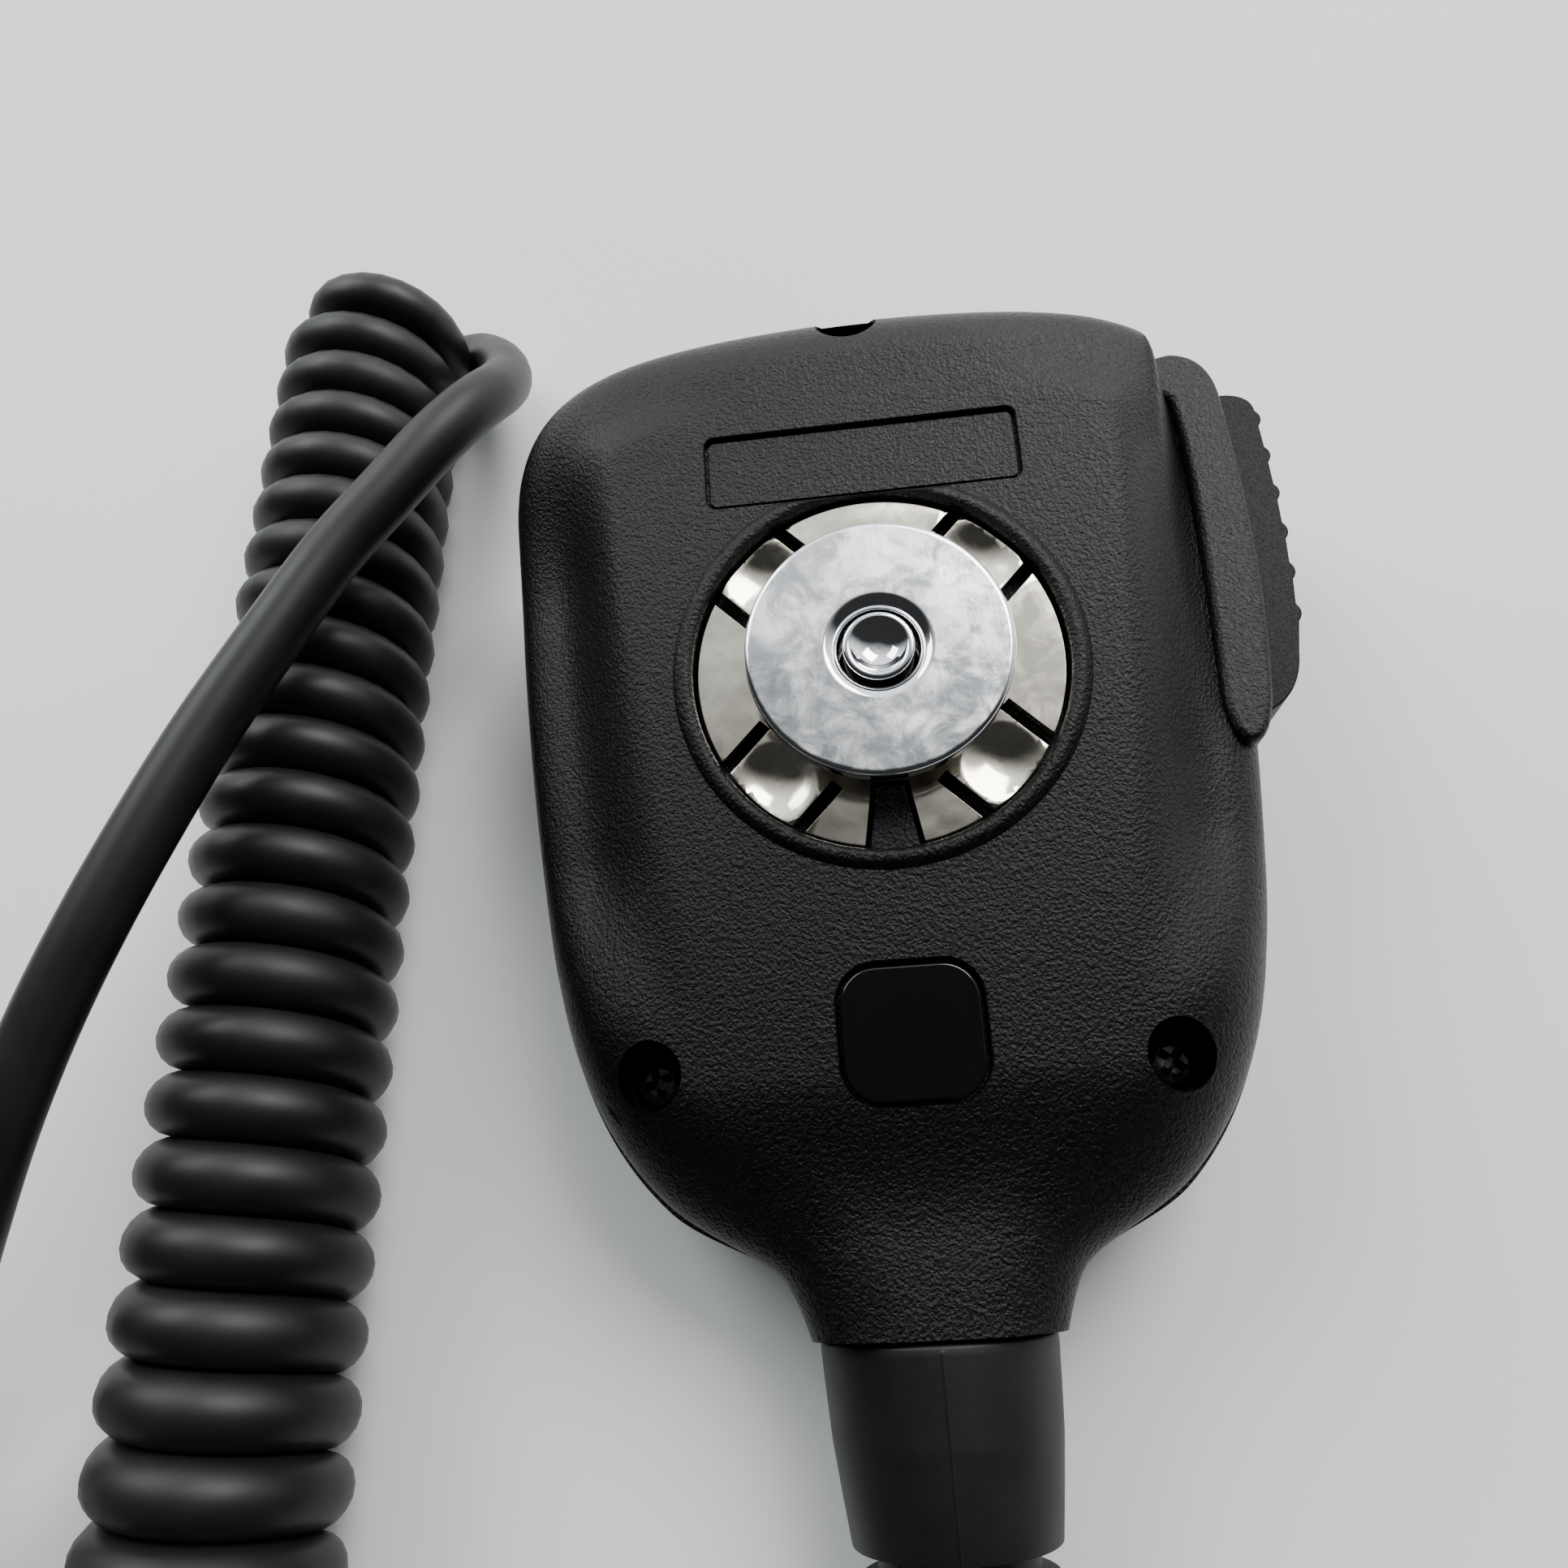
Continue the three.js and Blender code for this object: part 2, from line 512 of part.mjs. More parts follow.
// Contact from the board up to the button's stud, which tells the radio it is hung up.
const contact = new THREE.Shape();
contact.moveTo(-1.2, -4.5);
contact.lineTo(3.0, -4.5);
contact.lineTo(3.0, -4.1);
contact.lineTo(-0.8, -4.1);
contact.lineTo(-0.8, -3.3);
contact.lineTo(1.8, -2.3);
contact.lineTo(1.6, -2.0);
contact.lineTo(-1.2, -3.0);
add(microphone, 'hook_contact', extruded(contact, -1.5, 1.5).rotateX(Math.PI / 2)
  .translate(-1, 1.5, onBoard + 4.6), brass);

// ---------------------------------------------------------------- microphone capsule
add(microphone, 'dust_screen',
  post(11.4, floorThickness + gap, floorThickness + gap + 0.3, 0, grilleY, 24), feltGrey);
add(microphone, 'capsule_grommet', turned([[5.2, 3.1], [6.5, 3.1], [6.5, 7.6], [5.2, 7.6], [5.2, 3.1]])
  .translate(0, grilleY, 0), darkRubber);
add(microphone, 'microphone_capsule', post(4.85, 3.1, 8.2, 0, grilleY, 24), zincPlate);

// ---------------------------------------------------------------- cord exit
// Turned about the Y axis: [radius, y] pairs run from the inside of the neck outwards.
function strainRelief() {
  const profile = [[0, -38.2], [6.6, -38.2], [6.6, -43.4], [4.9, -43.4], [4.9, neckEndY - gap],
    [8.5, neckEndY - gap], [8.55, -47.8], [8.1, -53.5], [7.2, -59.6]];
  for (let rib = 0; rib < 5; rib++) {
    const [y, radius] = [-59.6 - rib * 4, 7.0 - rib * 0.55];
    profile.push([radius - 1.5, y - 0.2], [radius - 1.7, y - 1.5]);
    profile.push([radius - 0.05, y - 1.7], [radius - 0.45, y - 4]);
  }
  profile.push([3.6, reliefEndY], [0, reliefEndY]);
  const points = profile.map(([r, y]) => new THREE.Vector2(r, y)).reverse();
  return new THREE.LatheGeometry(points, 20).translate(0, 0, reliefZ);
}
add(microphone, 'strain_relief', strainRelief(), darkRubber);

// Wires from the cord to the header, clear of each other.
wireColours.forEach((colour, i) => {
  const spread = i - 1.5;
  const extrudePath = new THREE.CatmullRomCurve3([
    new THREE.Vector3(spread * 2.2, -37.6, reliefZ + 0.5), new THREE.Vector3(spread * 2.3, -33, 10.4),
    new THREE.Vector3(2 + spread * 2.4, -26, 13),
    new THREE.Vector3(2 + spread * 2.6, headerY - 2.6, onBoard + 1.8)]);
  const section = new THREE.Shape().absarc(0, 0, 0.65, 0, 2 * Math.PI);
  add(microphone, `cord_wire_${i + 1}`,
    new THREE.ExtrudeGeometry(section, { steps: 10, curveSegments: 4, extrudePath }), material(colour, 0.5));
});

// Bridge that clamps the cord's jacket inside the neck.
const clampBridge = solid(box(13, 3.0, 1.2, 0, -34.5, 5.2));
add(microphone, 'cord_clamp', clampBridge, steel);

// ---------------------------------------------------------------- cord
// The curly stretch is one round solid of its outer diameter; the ends are plain tubes.
const point = ([x, y, z]) => new THREE.Vector3(x, y, z);

const coilPath = new THREE.CurvePath();
const coilStart = point([-50.7, 57.4, coilZ]);
const coilCorner = point([-53.0, -106, coilZ]);
const bendRadius = 28;
const coilEnd = point([11, -106 - bendRadius, coilZ]);
const bendEnd = point([coilCorner.x + bendRadius, coilEnd.y, coilZ]);
coilPath.add(new THREE.QuadraticBezierCurve3(coilStart, point([-53.3, 0, coilZ]), coilCorner));
const quarter = bendRadius * 0.5523;
coilPath.add(new THREE.CubicBezierCurve3(coilCorner,
  point([coilCorner.x - 0.2, coilCorner.y - quarter, coilZ]),
  point([bendEnd.x - quarter, bendEnd.y, coilZ]), bendEnd));
coilPath.add(new THREE.LineCurve3(bendEnd, coilEnd));

function tube(path, radius, sides, steps) {
  const section = new THREE.Shape(Array.from({ length: sides }, (_, i) => new THREE.Vector2(
    radius * Math.cos((i + 0.5) / sides * 2 * Math.PI), radius * Math.sin((i + 0.5) / sides * 2 * Math.PI))));
  return new THREE.ExtrudeGeometry(section, { steps, extrudePath: path });
}
const route = (points) => new THREE.CatmullRomCurve3(points.map(point), false, 'catmullrom', 0.5);

const lie = cordDiameter / 2 + 0.1;
const micTail = route([
  [0, reliefEndY - gap, reliefZ], [0, -84, reliefZ], [0.6, -92, 7.0], [3.5, -100, 4.3], [8.5, -106, 3.0],
  [15, -110.5, lie], [22, -114.8, lie], [27.4, -120, lie], [30, -127, lie], [28.6, -133.6, lie],
  [24, -138, lie], [18, -140, lie], [coilEnd.x + 1.2, -140, lie]]);
const plugTail = route([
  [-38.9, 55.0, 5.4], [-37.6, 51.4, 7.4], [-36.4, 47.8, 9.8], [-35.2, 43.9, 12.3], [-34.4, 40.4, 14.8],
  [-34.3, 37.2, 17.2], [-34.6, 34.7, 19.1], [-36.7, 29.9, 21.3], [-42.0, 22.0, 22.1], [-45.7, 16.8, 22.3],
  [-50.4, 7.8, 22.8], [-54.3, -0.4, 23.3], [-57.4, -7.9, 23.6], [-60.5, -15.5, 23.5], [-63.3, -22.5, 22.9],
  [-66.1, -29.9, 21.6], [-70.2, -39.0, 18.0], [-75.2, -48.0, 12.6], [-80.4, -56.4, 7.2], [-84.8, -63.4, 4.2],
  [-87.6, -69.0, 3.6], [-88.2, -72.6, 4.1], [-88.2, -75.0, 4.2]]);
add(microphone, 'cord_tail_mic', tube(micTail, cordDiameter / 2, 8, 22), cordRubber);
add(microphone, 'cord_coil', tube(coilPath, coilRadius, 12, 24), cordRubber);
add(microphone, 'cord_tail_plug', tube(plugTail, cordDiameter / 2, 8, 30), cordRubber);

// ---------------------------------------------------------------- modular plug
// Eight-contact plug lying on its flat side, nose towards -Y, latch on top.
const plug = new THREE.Group();
plug.position.set(-88.2, -75.0 - gap, 4.2);
microphone.add(plug);
const plugWidth = 11.7;
const plugHeight = 6.6;
const plugLength = 21.5;
const plugY = -9.3;                  // rear face of the plug's body
const boot = turned([[0, 0], [3.5, 0], [4.0, 4.5], [4.1, 9.0], [0, 9.0]], 20).rotateX(Math.PI / 2);
add(plug, 'plug_boot', boot, darkRubber);
const plugBlank = new THREE.Shape([[-plugWidth / 2, 0], [plugWidth / 2, 0], [plugWidth / 2, -plugLength],
  [-plugWidth / 2, -plugLength]].map(([x, y]) => new THREE.Vector2(x, y)));
let plugBody = solid(extruded(plugBlank, -plugHeight / 2 - 0.8, plugHeight / 2 - 0.8).translate(0, plugY, 0));
const contactPitch = 1.02;
for (let i = 0; i < 8; i++) {
  plugBody = plugBody.subtract(solid(box(0.8, 7, 2.6, (i - 3.5) * contactPitch, plugY - plugLength, -3.4)));
}
add(plug, 'plug_body', plugBody, clearPlastic);
for (let i = 0; i < 8; i++) {
  add(plug, `plug_contact_${i + 1}`,
    box(0.32, 2.8, 1.5, (i - 3.5) * contactPitch, plugY - plugLength + 1.7, -3.05), goldPlate);
}
const latch = new THREE.Shape();
latch.moveTo(0, 0);
latch.lineTo(0.9, 0);
latch.quadraticCurveTo(1.5, -3, 1.9, -6);
latch.lineTo(1.9, -15.5);
latch.lineTo(1.1, -15.5);
latch.lineTo(1.1, -6);
latch.quadraticCurveTo(0.7, -3, 0, -1.2);
const latchArm = extruded(latch, -2.9, 2.9).rotateY(-Math.PI / 2);
add(plug, 'plug_latch', latchArm.rotateZ(Math.PI)
  .translate(0, plugY - plugLength + 1.0, plugHeight / 2 - 0.8 + gap), clearPlastic);

export default part;
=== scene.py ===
"""Looks of the hand microphone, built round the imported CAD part.

Shapes are written in millimetres in the microphone's own axes: the hang-up button's axis is at
x = 0, y = 0, the surface that it lies on is z = 0, +Y is the top end and +Z the back.
"""
import json
import math

import bmesh
import bpy
import numpy as np
from mathutils import Matrix, Vector


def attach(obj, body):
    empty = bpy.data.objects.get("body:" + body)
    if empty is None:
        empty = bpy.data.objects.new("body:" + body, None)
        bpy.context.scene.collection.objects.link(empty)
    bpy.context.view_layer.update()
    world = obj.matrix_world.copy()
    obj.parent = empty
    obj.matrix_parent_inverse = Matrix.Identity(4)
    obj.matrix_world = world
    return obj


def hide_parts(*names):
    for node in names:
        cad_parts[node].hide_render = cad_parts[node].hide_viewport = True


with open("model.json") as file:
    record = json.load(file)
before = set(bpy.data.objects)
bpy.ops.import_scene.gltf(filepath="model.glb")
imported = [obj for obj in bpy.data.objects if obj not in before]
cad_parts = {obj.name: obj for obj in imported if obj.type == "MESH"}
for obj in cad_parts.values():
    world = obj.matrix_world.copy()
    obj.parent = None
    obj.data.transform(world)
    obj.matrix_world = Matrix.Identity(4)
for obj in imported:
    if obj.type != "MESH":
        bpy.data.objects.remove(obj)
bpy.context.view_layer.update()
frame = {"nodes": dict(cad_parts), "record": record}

# ---------------------------------------------------------------- sizes, in millimetres
MM = 0.001
FOOTPRINT_CENTRE = np.array([2.4, -22.6, 0.0])
GAP = 0.3
PARTING_Z = 12.05
WALL = 2.4
FLOOR_THICKNESS = 2.2
BACK_SLOPE = 0.123
BACK_HEIGHT = 23.4
END_RADIUS = 7.4
SHOULDER_RADIUS = 4.4
VALLEY_Z = 17.7
CAVITY_TOP = 14.9
NECK_END_Y = -47.0
NECK_TOP = 17.3
NECK_RUN = 14.0
BUTTON_RADIUS = 10.0
BUTTON_BASE = 2.27
BUTTON_TOP = 3.92
PLATE_DROP = 0.63
PLATE_RADIUS = 14.2
PLATE_THICKNESS = 0.8
COLLAR_INNER = 14.5
COLLAR_OUTER = 16.0
LABEL_Y = 17.8
LABEL_SIZE = (25.4, 6.4, 0.8)
INLAY_Y = -27.4
INLAY_SIZE = (10.0, 9.3, 2.6)
WELLS = ((-18.95, -29.2, 2.45), (18.2, -30.0, 2.45), (-0.2, 32.2, 2.65))
SCREWS = ((-18.95, -29.2, 2.05), (18.2, -30.0, 2.05), (-0.2, 31.75, 1.8))
SCREW_SEAT_Z = 14.2
BOARD_SCREWS = ((-17.5, 18.5), (-17.5, -18.5))
GRILLE_Y = 12.0
SLAT_PITCH = 4.0
BEZEL_Z = (4.3, 18.7)
LEVER_Z = (6.3, 15.9)
LEVER_GAP = 0.35
PIVOT = (28.6, 25.4)
PIN_RADIUS = 1.25
PIN_BOSS_RADIUS = 2.9
RELIEF_Z = 8.7
RELIEF_END_Y = -80.0
CORD_DIAMETER = 5.1
COIL_RADIUS = 9.25
COIL_Z = 9.3
COIL_PITCH = 5.15
BEND_PITCH = 7.0
BEND_RADIUS = 28.0
PLUG = np.array([-88.2, -75.3, 4.2])
PLUG_REAR_Y = -9.3
PLUG_LENGTH = 21.5
CONTACT_PITCH = 1.02
TILT = math.atan(BACK_SLOPE)


def metres(points):
    """The microphone's millimetres to the shared frame's metres."""
    return (np.asarray(points, float).reshape(-1, 3) - FOOTPRINT_CENTRE) * MM


def place(x, y, z):
    return Vector(metres((x, y, z))[0])


def link(name, data):
    obj = bpy.data.objects.new(name, data)
    bpy.context.scene.collection.objects.link(obj)
    return obj


# ---------------------------------------------------------------- camera
camera = link("camera", bpy.data.cameras.new("camera"))
camera.data.sensor_width = 36.0
camera.data.lens = 25.155
camera.data.clip_start = 0.005
camera.matrix_world = (
    Matrix.Translation(place(-1.556, -40.284, 98.067))
    @ Matrix.Rotation(-0.0504, 4, "Z")
    @ Matrix.Rotation(0.1042, 4, "Y")
    @ Matrix.Rotation(0.3875, 4, "X")
)
bpy.context.scene.camera = camera


# ---------------------------------------------------------------- cord
def bezier(points, count):
    """A Bezier curve of any degree, sampled at count + 1 parameters."""
    points = [np.array(p, float) for p in points]
    t = np.linspace(0, 1, count + 1)[:, None]
    degree = len(points) - 1
    return sum(math.comb(degree, i) * (1 - t) ** (degree - i) * t**i * p for i, p in enumerate(points))


def resample(line, step):
    """The line cut into even steps of about the given length."""
    line = np.asarray(line, float)
    along = np.r_[0, np.cumsum(np.linalg.norm(np.diff(line, axis=0), axis=1))]
    at = np.linspace(0, along[-1], max(2, int(round(along[-1] / step)) + 1))
    return np.stack([np.interp(at, along, line[:, k]) for k in range(line.shape[1])], 1)


def smooth_curve(points, step):
    """A centripetal Catmull-Rom curve through the points, in even steps."""
    p = np.asarray(points, float)
    p = np.vstack([2 * p[0] - p[1], p, 2 * p[-1] - p[-2]])
    pieces = []
    for p0, p1, p2, p3 in zip(p, p[1:], p[2:], p[3:]):
        t0 = 0.0
        t1 = t0 + np.linalg.norm(p1 - p0) ** 0.5
        t2 = t1 + np.linalg.norm(p2 - p1) ** 0.5
        t3 = t2 + np.linalg.norm(p3 - p2) ** 0.5
        t = np.linspace(t1, t2, 24, endpoint=False)[:, None]
        a1 = (t1 - t) / (t1 - t0) * p0 + (t - t0) / (t1 - t0) * p1
        a2 = (t2 - t) / (t2 - t1) * p1 + (t - t1) / (t2 - t1) * p2
        a3 = (t3 - t) / (t3 - t2) * p2 + (t - t2) / (t3 - t2) * p3
        b1 = (t2 - t) / (t2 - t0) * a1 + (t - t0) / (t2 - t0) * a2
        b2 = (t3 - t) / (t3 - t1) * a2 + (t - t1) / (t3 - t1) * a3
        pieces.append((t2 - t) / (t2 - t1) * b1 + (t - t1) / (t2 - t1) * b2)
    return resample(np.vstack([*pieces, p[-2]]), step)


def smoothstep(x, low, high):
    """Rises smoothly from 0 at low to 1 at high."""
    t = np.clip((np.asarray(x, float) - low) / (high - low), 0, 1)
    return t * t * (3 - 2 * t)


def coil_axis():
    """Axis of the curly stretch: a long run, a quarter bend and a short run."""
    run_end = 11.0
    corner = np.array([-53.0, -106.0, COIL_Z])
    bend_end = corner + [BEND_RADIUS, -BEND_RADIUS, 0]
    handle = BEND_RADIUS * 0.5523       # a quarter circle as one cubic curve
    return np.vstack([
        bezier([(-50.7, 58.0, COIL_Z), (-53.3, 0, COIL_Z), corner], 200),
        bezier([corner, corner + [-0.2, -handle, 0], bend_end - [handle, 0, 0], bend_end], 80)[1:],
        [(run_end, bend_end[1], COIL_Z)],
    ])


def helix():
    """The strand's centreline round the coil's axis, from the top end down."""
    points_per_turn = 26
    winding = COIL_RADIUS - CORD_DIAMETER / 2
    spare = CORD_DIAMETER / 2 + 0.1
    axis = resample(coil_axis(), 0.05)
    along = np.r_[0, np.cumsum(np.linalg.norm(np.diff(axis, axis=0), axis=1))]
    direction = np.gradient(axis, along, axis=0)
    direction /= np.linalg.norm(direction, axis=1)[:, None]
    bend_from = 164.1
    bend_to = bend_from + BEND_RADIUS * math.pi / 2
    in_bend = smoothstep(along, bend_from - 9, bend_from + 2) * (1 - smoothstep(along, bend_to, bend_to + 12))
    axis[:, 0] += 3.6 * (1 - smoothstep(along, 0, 9))       # the first turn is pulled aside by the lead
    inside = (along >= spare) & (along <= along[-1] - spare)
    axis, direction, along, in_bend = axis[inside], direction[inside], along[inside], in_bend[inside]
    turns = np.r_[0, np.cumsum(np.diff(along) / (COIL_PITCH + (BEND_PITCH - COIL_PITCH) * in_bend[1:]))]
    turns *= round(turns[-1]) / turns[-1]
    at = np.linspace(0, turns[-1], int(turns[-1] * points_per_turn) + 1)
    centre = np.stack([np.interp(at, turns, axis[:, k]) for k in range(3)], 1)
    heading = np.stack([np.interp(at, turns, direction[:, k]) for k in range(3)], 1)
    side = np.cross([0.0, 0, 1], heading)
    side /= np.linalg.norm(side, axis=1)[:, None]
    angle = -math.pi / 2 - at * 2 * math.pi
    return centre + winding * (np.cos(angle)[:, None] * side + np.sin(angle)[:, None] * [0, 0, 1.0])


LIE = CORD_DIAMETER / 2 + 0.1
coil_line = helix()
mic_tail = smooth_curve([
    (0, -78.6, RELIEF_Z), (0, -84, RELIEF_Z), (0.6, -92, 7.0), (3.5, -100, 4.3), (8.5, -106, 3.0),
    (15, -110.5, LIE), (22, -114.8, LIE), (27.4, -120, LIE), (30, -127, LIE), (28.6, -133.6, LIE),
    (24, -138, LIE), (18.5, -140, LIE), (14, -140.2, LIE), (10.4, -138.3, LIE),
    coil_line[-1], coil_line[-3]], 1.4)
plug_tail = smooth_curve([
    coil_line[2], coil_line[0],
    (-43.6, 55.8, 3.2), (-41.0, 54.4, 4.6), (-39.2, 52.0, 6.4), (-37.2, 48.6, 9.0), (-35.4, 44.3, 12.0),
    (-34.4, 40.4, 14.8), (-34.3, 37.2, 17.2), (-34.6, 34.7, 19.1), (-35.4, 32.4, 20.4), (-36.7, 29.9, 21.3),
    (-38.2, 27.5, 21.8), (-42.0, 22.0, 22.1), (-45.7, 16.8, 22.3), (-50.4, 7.8, 22.8), (-54.3, -0.4, 23.3),
    (-57.4, -7.9, 23.6), (-60.5, -15.5, 23.5), (-63.3, -22.5, 22.9), (-66.1, -29.9, 21.6),
    (-70.2, -39.0, 18.0), (-75.2, -48.0, 12.6), (-80.4, -56.4, 7.2), (-84.8, -63.4, 4.2),
    (-87.6, -69.0, 3.6), (-88.2, -72.6, 4.1), (-88.2, -76.5, 4.2)], 1.4)


def nearest(line, point):
    """Index of the line's point that is nearest to a point."""
    return int(np.argmin(np.linalg.norm(line - point, axis=1)))


# The tails overlap the coil's ends by a point or two, which are dropped where they meet.
cord_line = np.vstack([
    mic_tail[:nearest(mic_tail, coil_line[-1])],
    coil_line[::-1],
    plug_tail[nearest(plug_tail, coil_line[0]) + 1:],
])
apart = np.r_[True, np.linalg.norm(np.diff(cord_line, axis=0), axis=1) > 0.5]
cord_line = cord_line[apart]


def tube(name, line, radius, sides=18):
    """A round tube along a line, with rings that don't twist, and flat ends."""
    heading = np.gradient(line, axis=0)
    heading /= np.linalg.norm(heading, axis=1)[:, None]
    side = np.cross(heading[0], [0, 0, 1.0])
    rings = []
    angle = np.linspace(0, 2 * math.pi, sides, endpoint=False)[:, None]
    for centre, forward in zip(line, heading):
        side = side - forward * (side @ forward)
        side /= np.linalg.norm(side)
        up = np.cross(side, forward)
        rings.append(centre + radius * (np.cos(angle) * side + np.sin(angle) * up))
    return loft(name, rings)


def loft(name, rings, closed=False):
    """A solid through rings of equal numbers of points; closed joins the last ring to the first."""
    rings = np.asarray(rings, float)
    count, size = rings.shape[:2]
    faces = []
    for r in range(count if closed else count - 1):
        a, b = r * size, (r + 1) % count * size
        faces += [(a + i, a + (i + 1) % size, b + (i + 1) % size, b + i) for i in range(size)]
    if not closed:
        faces += [tuple(range(size))[::-1], tuple((count - 1) * size + i for i in range(size))]
    return solid(name, rings.reshape(-1, 3), faces)


def solid(name, points, faces):
    """A mesh object from millimetre points, with its faces turned outwards."""
    mesh = bpy.data.meshes.new(name)
    mesh.from_pydata(metres(points).tolist(), [], faces)
    bm = bmesh.new()
    bm.from_mesh(mesh)
    bmesh.ops.remove_doubles(bm, verts=bm.verts, dist=1e-7)
    bmesh.ops.recalc_face_normals(bm, faces=bm.faces)
    bm.to_mesh(mesh)
    bm.free()
    return link(name, mesh)


cord = tube("curly_cord", cord_line, CORD_DIAMETER / 2)


# ---------------------------------------------------------------- mesh helpers
def apply_modifiers(obj):
    """The evaluated mesh takes the modifiers' place."""
    evaluated = obj.evaluated_get(bpy.context.evaluated_depsgraph_get())
    mesh = bpy.data.meshes.new_from_object(evaluated)
    obj.modifiers.clear()
    obj.data = mesh
    return obj


def combine(obj, operation, *tools):
    """Joins the tools to obj or cuts them out of it, and deletes them."""
    for tool in tools:
        modifier = obj.modifiers.new(tool.name, "BOOLEAN")
        modifier.operation = operation
        modifier.solver = "MANIFOLD"
        modifier.object = tool
    apply_modifiers(obj)
    for tool in tools:
        bpy.data.objects.remove(tool)
    return obj


def add(obj, *tools):
    return combine(obj, "UNION", *tools)


def cut(obj, *tools):
    return combine(obj, "DIFFERENCE", *tools)


def shade(obj, angle=32):
    """Smooth surfaces with crisp edges where they turn by more than the angle."""
    obj.data.shade_smooth()
    obj.data.set_sharp_from_angle(angle=math.radians(angle))
    modifier = obj.modifiers.new("normals", "WEIGHTED_NORMAL")
    modifier.keep_sharp = True
    modifier.mode = "FACE_AREA_WITH_ANGLE"
    return apply_modifiers(obj)


def bevel(obj, width, segments=4, angle=40):
    """Rounds the edges that turn by more than the angle."""
    modifier = obj.modifiers.new("bevel", "BEVEL")
    modifier.width = width * MM
    modifier.segments = segments
    modifier.limit_method = "ANGLE"
    modifier.angle_limit = math.radians(angle)
    return apply_modifiers(obj)


def prism(name, outline, z0, z1, slope=0.0, round_by=0.0, segments=4):
    """An upright prism over a plan outline, lifted with the slope, its edges rounded."""
    outline = np.asarray(outline, float)
    rings = [np.c_[outline, z + slope * outline[:, 1]] for z in (z0, z1)]
    obj = loft(name, rings)
    return bevel(obj, round_by, segments) if round_by else obj


def turned(name, profile, sides=96, centre=(0, 0)):
    """A profile of (radius, height) pairs turned about an upright axis; a closed one makes a ring."""
    angle = np.linspace(0, 2 * math.pi, sides, endpoint=False)
    rings = [np.c_[r * np.cos(angle) + centre[0], r * np.sin(angle) + centre[1], np.full(sides, z)]
             for r, z in ((max(r, 1e-3), z) for r, z in profile)]
    ring_shaped = np.allclose(profile[0], profile[-1])
    return loft(name, rings[:-1] if ring_shaped else rings, closed=ring_shaped)


def rounded(profile, radius, steps=4):
    """A profile with its corners rounded by up to the radius; both ends stay."""
    p = [np.array(v, float) for v in profile]
    out = [p[0]]
    for before, corner, after in zip(p, p[1:], p[2:]):
        a, b = before - corner, after - corner
        reach = min(radius, np.linalg.norm(a) * 0.45, np.linalg.norm(b) * 0.45)
        start = corner + a / np.linalg.norm(a) * reach
        end = corner + b / np.linalg.norm(b) * reach
        out += list(bezier([start, corner, end], steps))
    return out + [p[-1]]


def post(name, radius, z0, z1, centre=(0, 0), sides=48):
    return turned(name, [(radius, z0), (radius, z1)], sides, centre)


def box(name, size, centre):
    low, high = np.array(centre) - np.array(size) / 2, np.array(centre) + np.array(size) / 2
    outline = [(low[0], low[1]), (high[0], low[1]), (high[0], high[1]), (low[0], high[1])]
    return prism(name, outline, low[2], high[2])


def rounded_rectangle(width, height, radius, centre=(0, 0), steps=10):
    corners = []
    for quarter, (sx, sy) in enumerate(((1, 1), (-1, 1), (-1, -1), (1, -1))):
        angle = np.linspace(quarter, quarter + 1, steps) * math.pi / 2
        corners.append(np.c_[
            centre[0] + sx * (width / 2 - radius) + radius * np.cos(angle),
            centre[1] + sy * (height / 2 - radius) + radius * np.sin(angle)])
    return np.vstack(corners)


def transform(obj, matrix):
    """Moves a piece's own mesh, with the matrix in the microphone's millimetres."""
    to_shared = Matrix.Translation(Vector(-FOOTPRINT_CENTRE) * MM) @ Matrix.Scale(MM, 4)
    obj.data.transform(to_shared @ matrix @ to_shared.inverted())
    return obj


def tilted(obj):
    """Tilts a piece that was made flat at z = 0 to lie on the sloping back."""
    return transform(obj, Matrix.Translation((0, 0, BACK_HEIGHT)) @ Matrix.Rotation(TILT, 4, "X"))


# ---------------------------------------------------------------- materials
def principled(name):
    material = bpy.data.materials.new(name)
    material.use_nodes = True
    nodes, links = material.node_tree.nodes, material.node_tree.links
    shader = nodes["Principled BSDF"]
    return material, nodes, links, shader


def texture(nodes, links, kind, scale, coordinates, **values):
    """A texture node in object coordinates; scale is in cells to the metre."""
    node = nodes.new(kind)
    links.new(coordinates, node.inputs["Vector"])
    node.inputs["Scale"].default_value = scale
    for key, value in values.items():
        node.inputs[key.replace("_", " ").capitalize()].default_value = value
    return node


def spread(nodes, links, source, low, high, start=0.0, end=1.0):
    """Maps a texture's grey value from start..end to low..high."""
    node = nodes.new("ShaderNodeMapRange")
    links.new(source, node.inputs["Value"])
    node.inputs["From Min"].default_value = start
    node.inputs["From Max"].default_value = end
    node.inputs["To Min"].default_value = low
    node.inputs["To Max"].default_value = high
    return node.outputs["Result"]


def colours(nodes, links, source, *stops):
    """A colour ramp of (position, (r, g, b)) stops."""
    node = nodes.new("ShaderNodeValToRGB")
    links.new(source, node.inputs["Fac"])
    elements = node.color_ramp.elements
    while len(elements) < len(stops):
        elements.new(0.5)
    for element, (position, colour) in zip(elements, stops):
        element.position = position
        element.color = (*colour, 1)
    return node.outputs["Color"]


def bump(nodes, links, shader, *layers):
    """Stacks bump layers of (height, depth in millimetres, strength) under the shader."""
    normal = None
    for height, depth, strength in layers:
        node = nodes.new("ShaderNodeBump")
        links.new(height, node.inputs["Height"])
        node.inputs["Distance"].default_value = depth * MM
        node.inputs["Strength"].default_value = strength
        if normal is not None:
            links.new(normal, node.inputs["Normal"])
        normal = node.outputs["Normal"]
    links.new(normal, shader.inputs["Normal"])


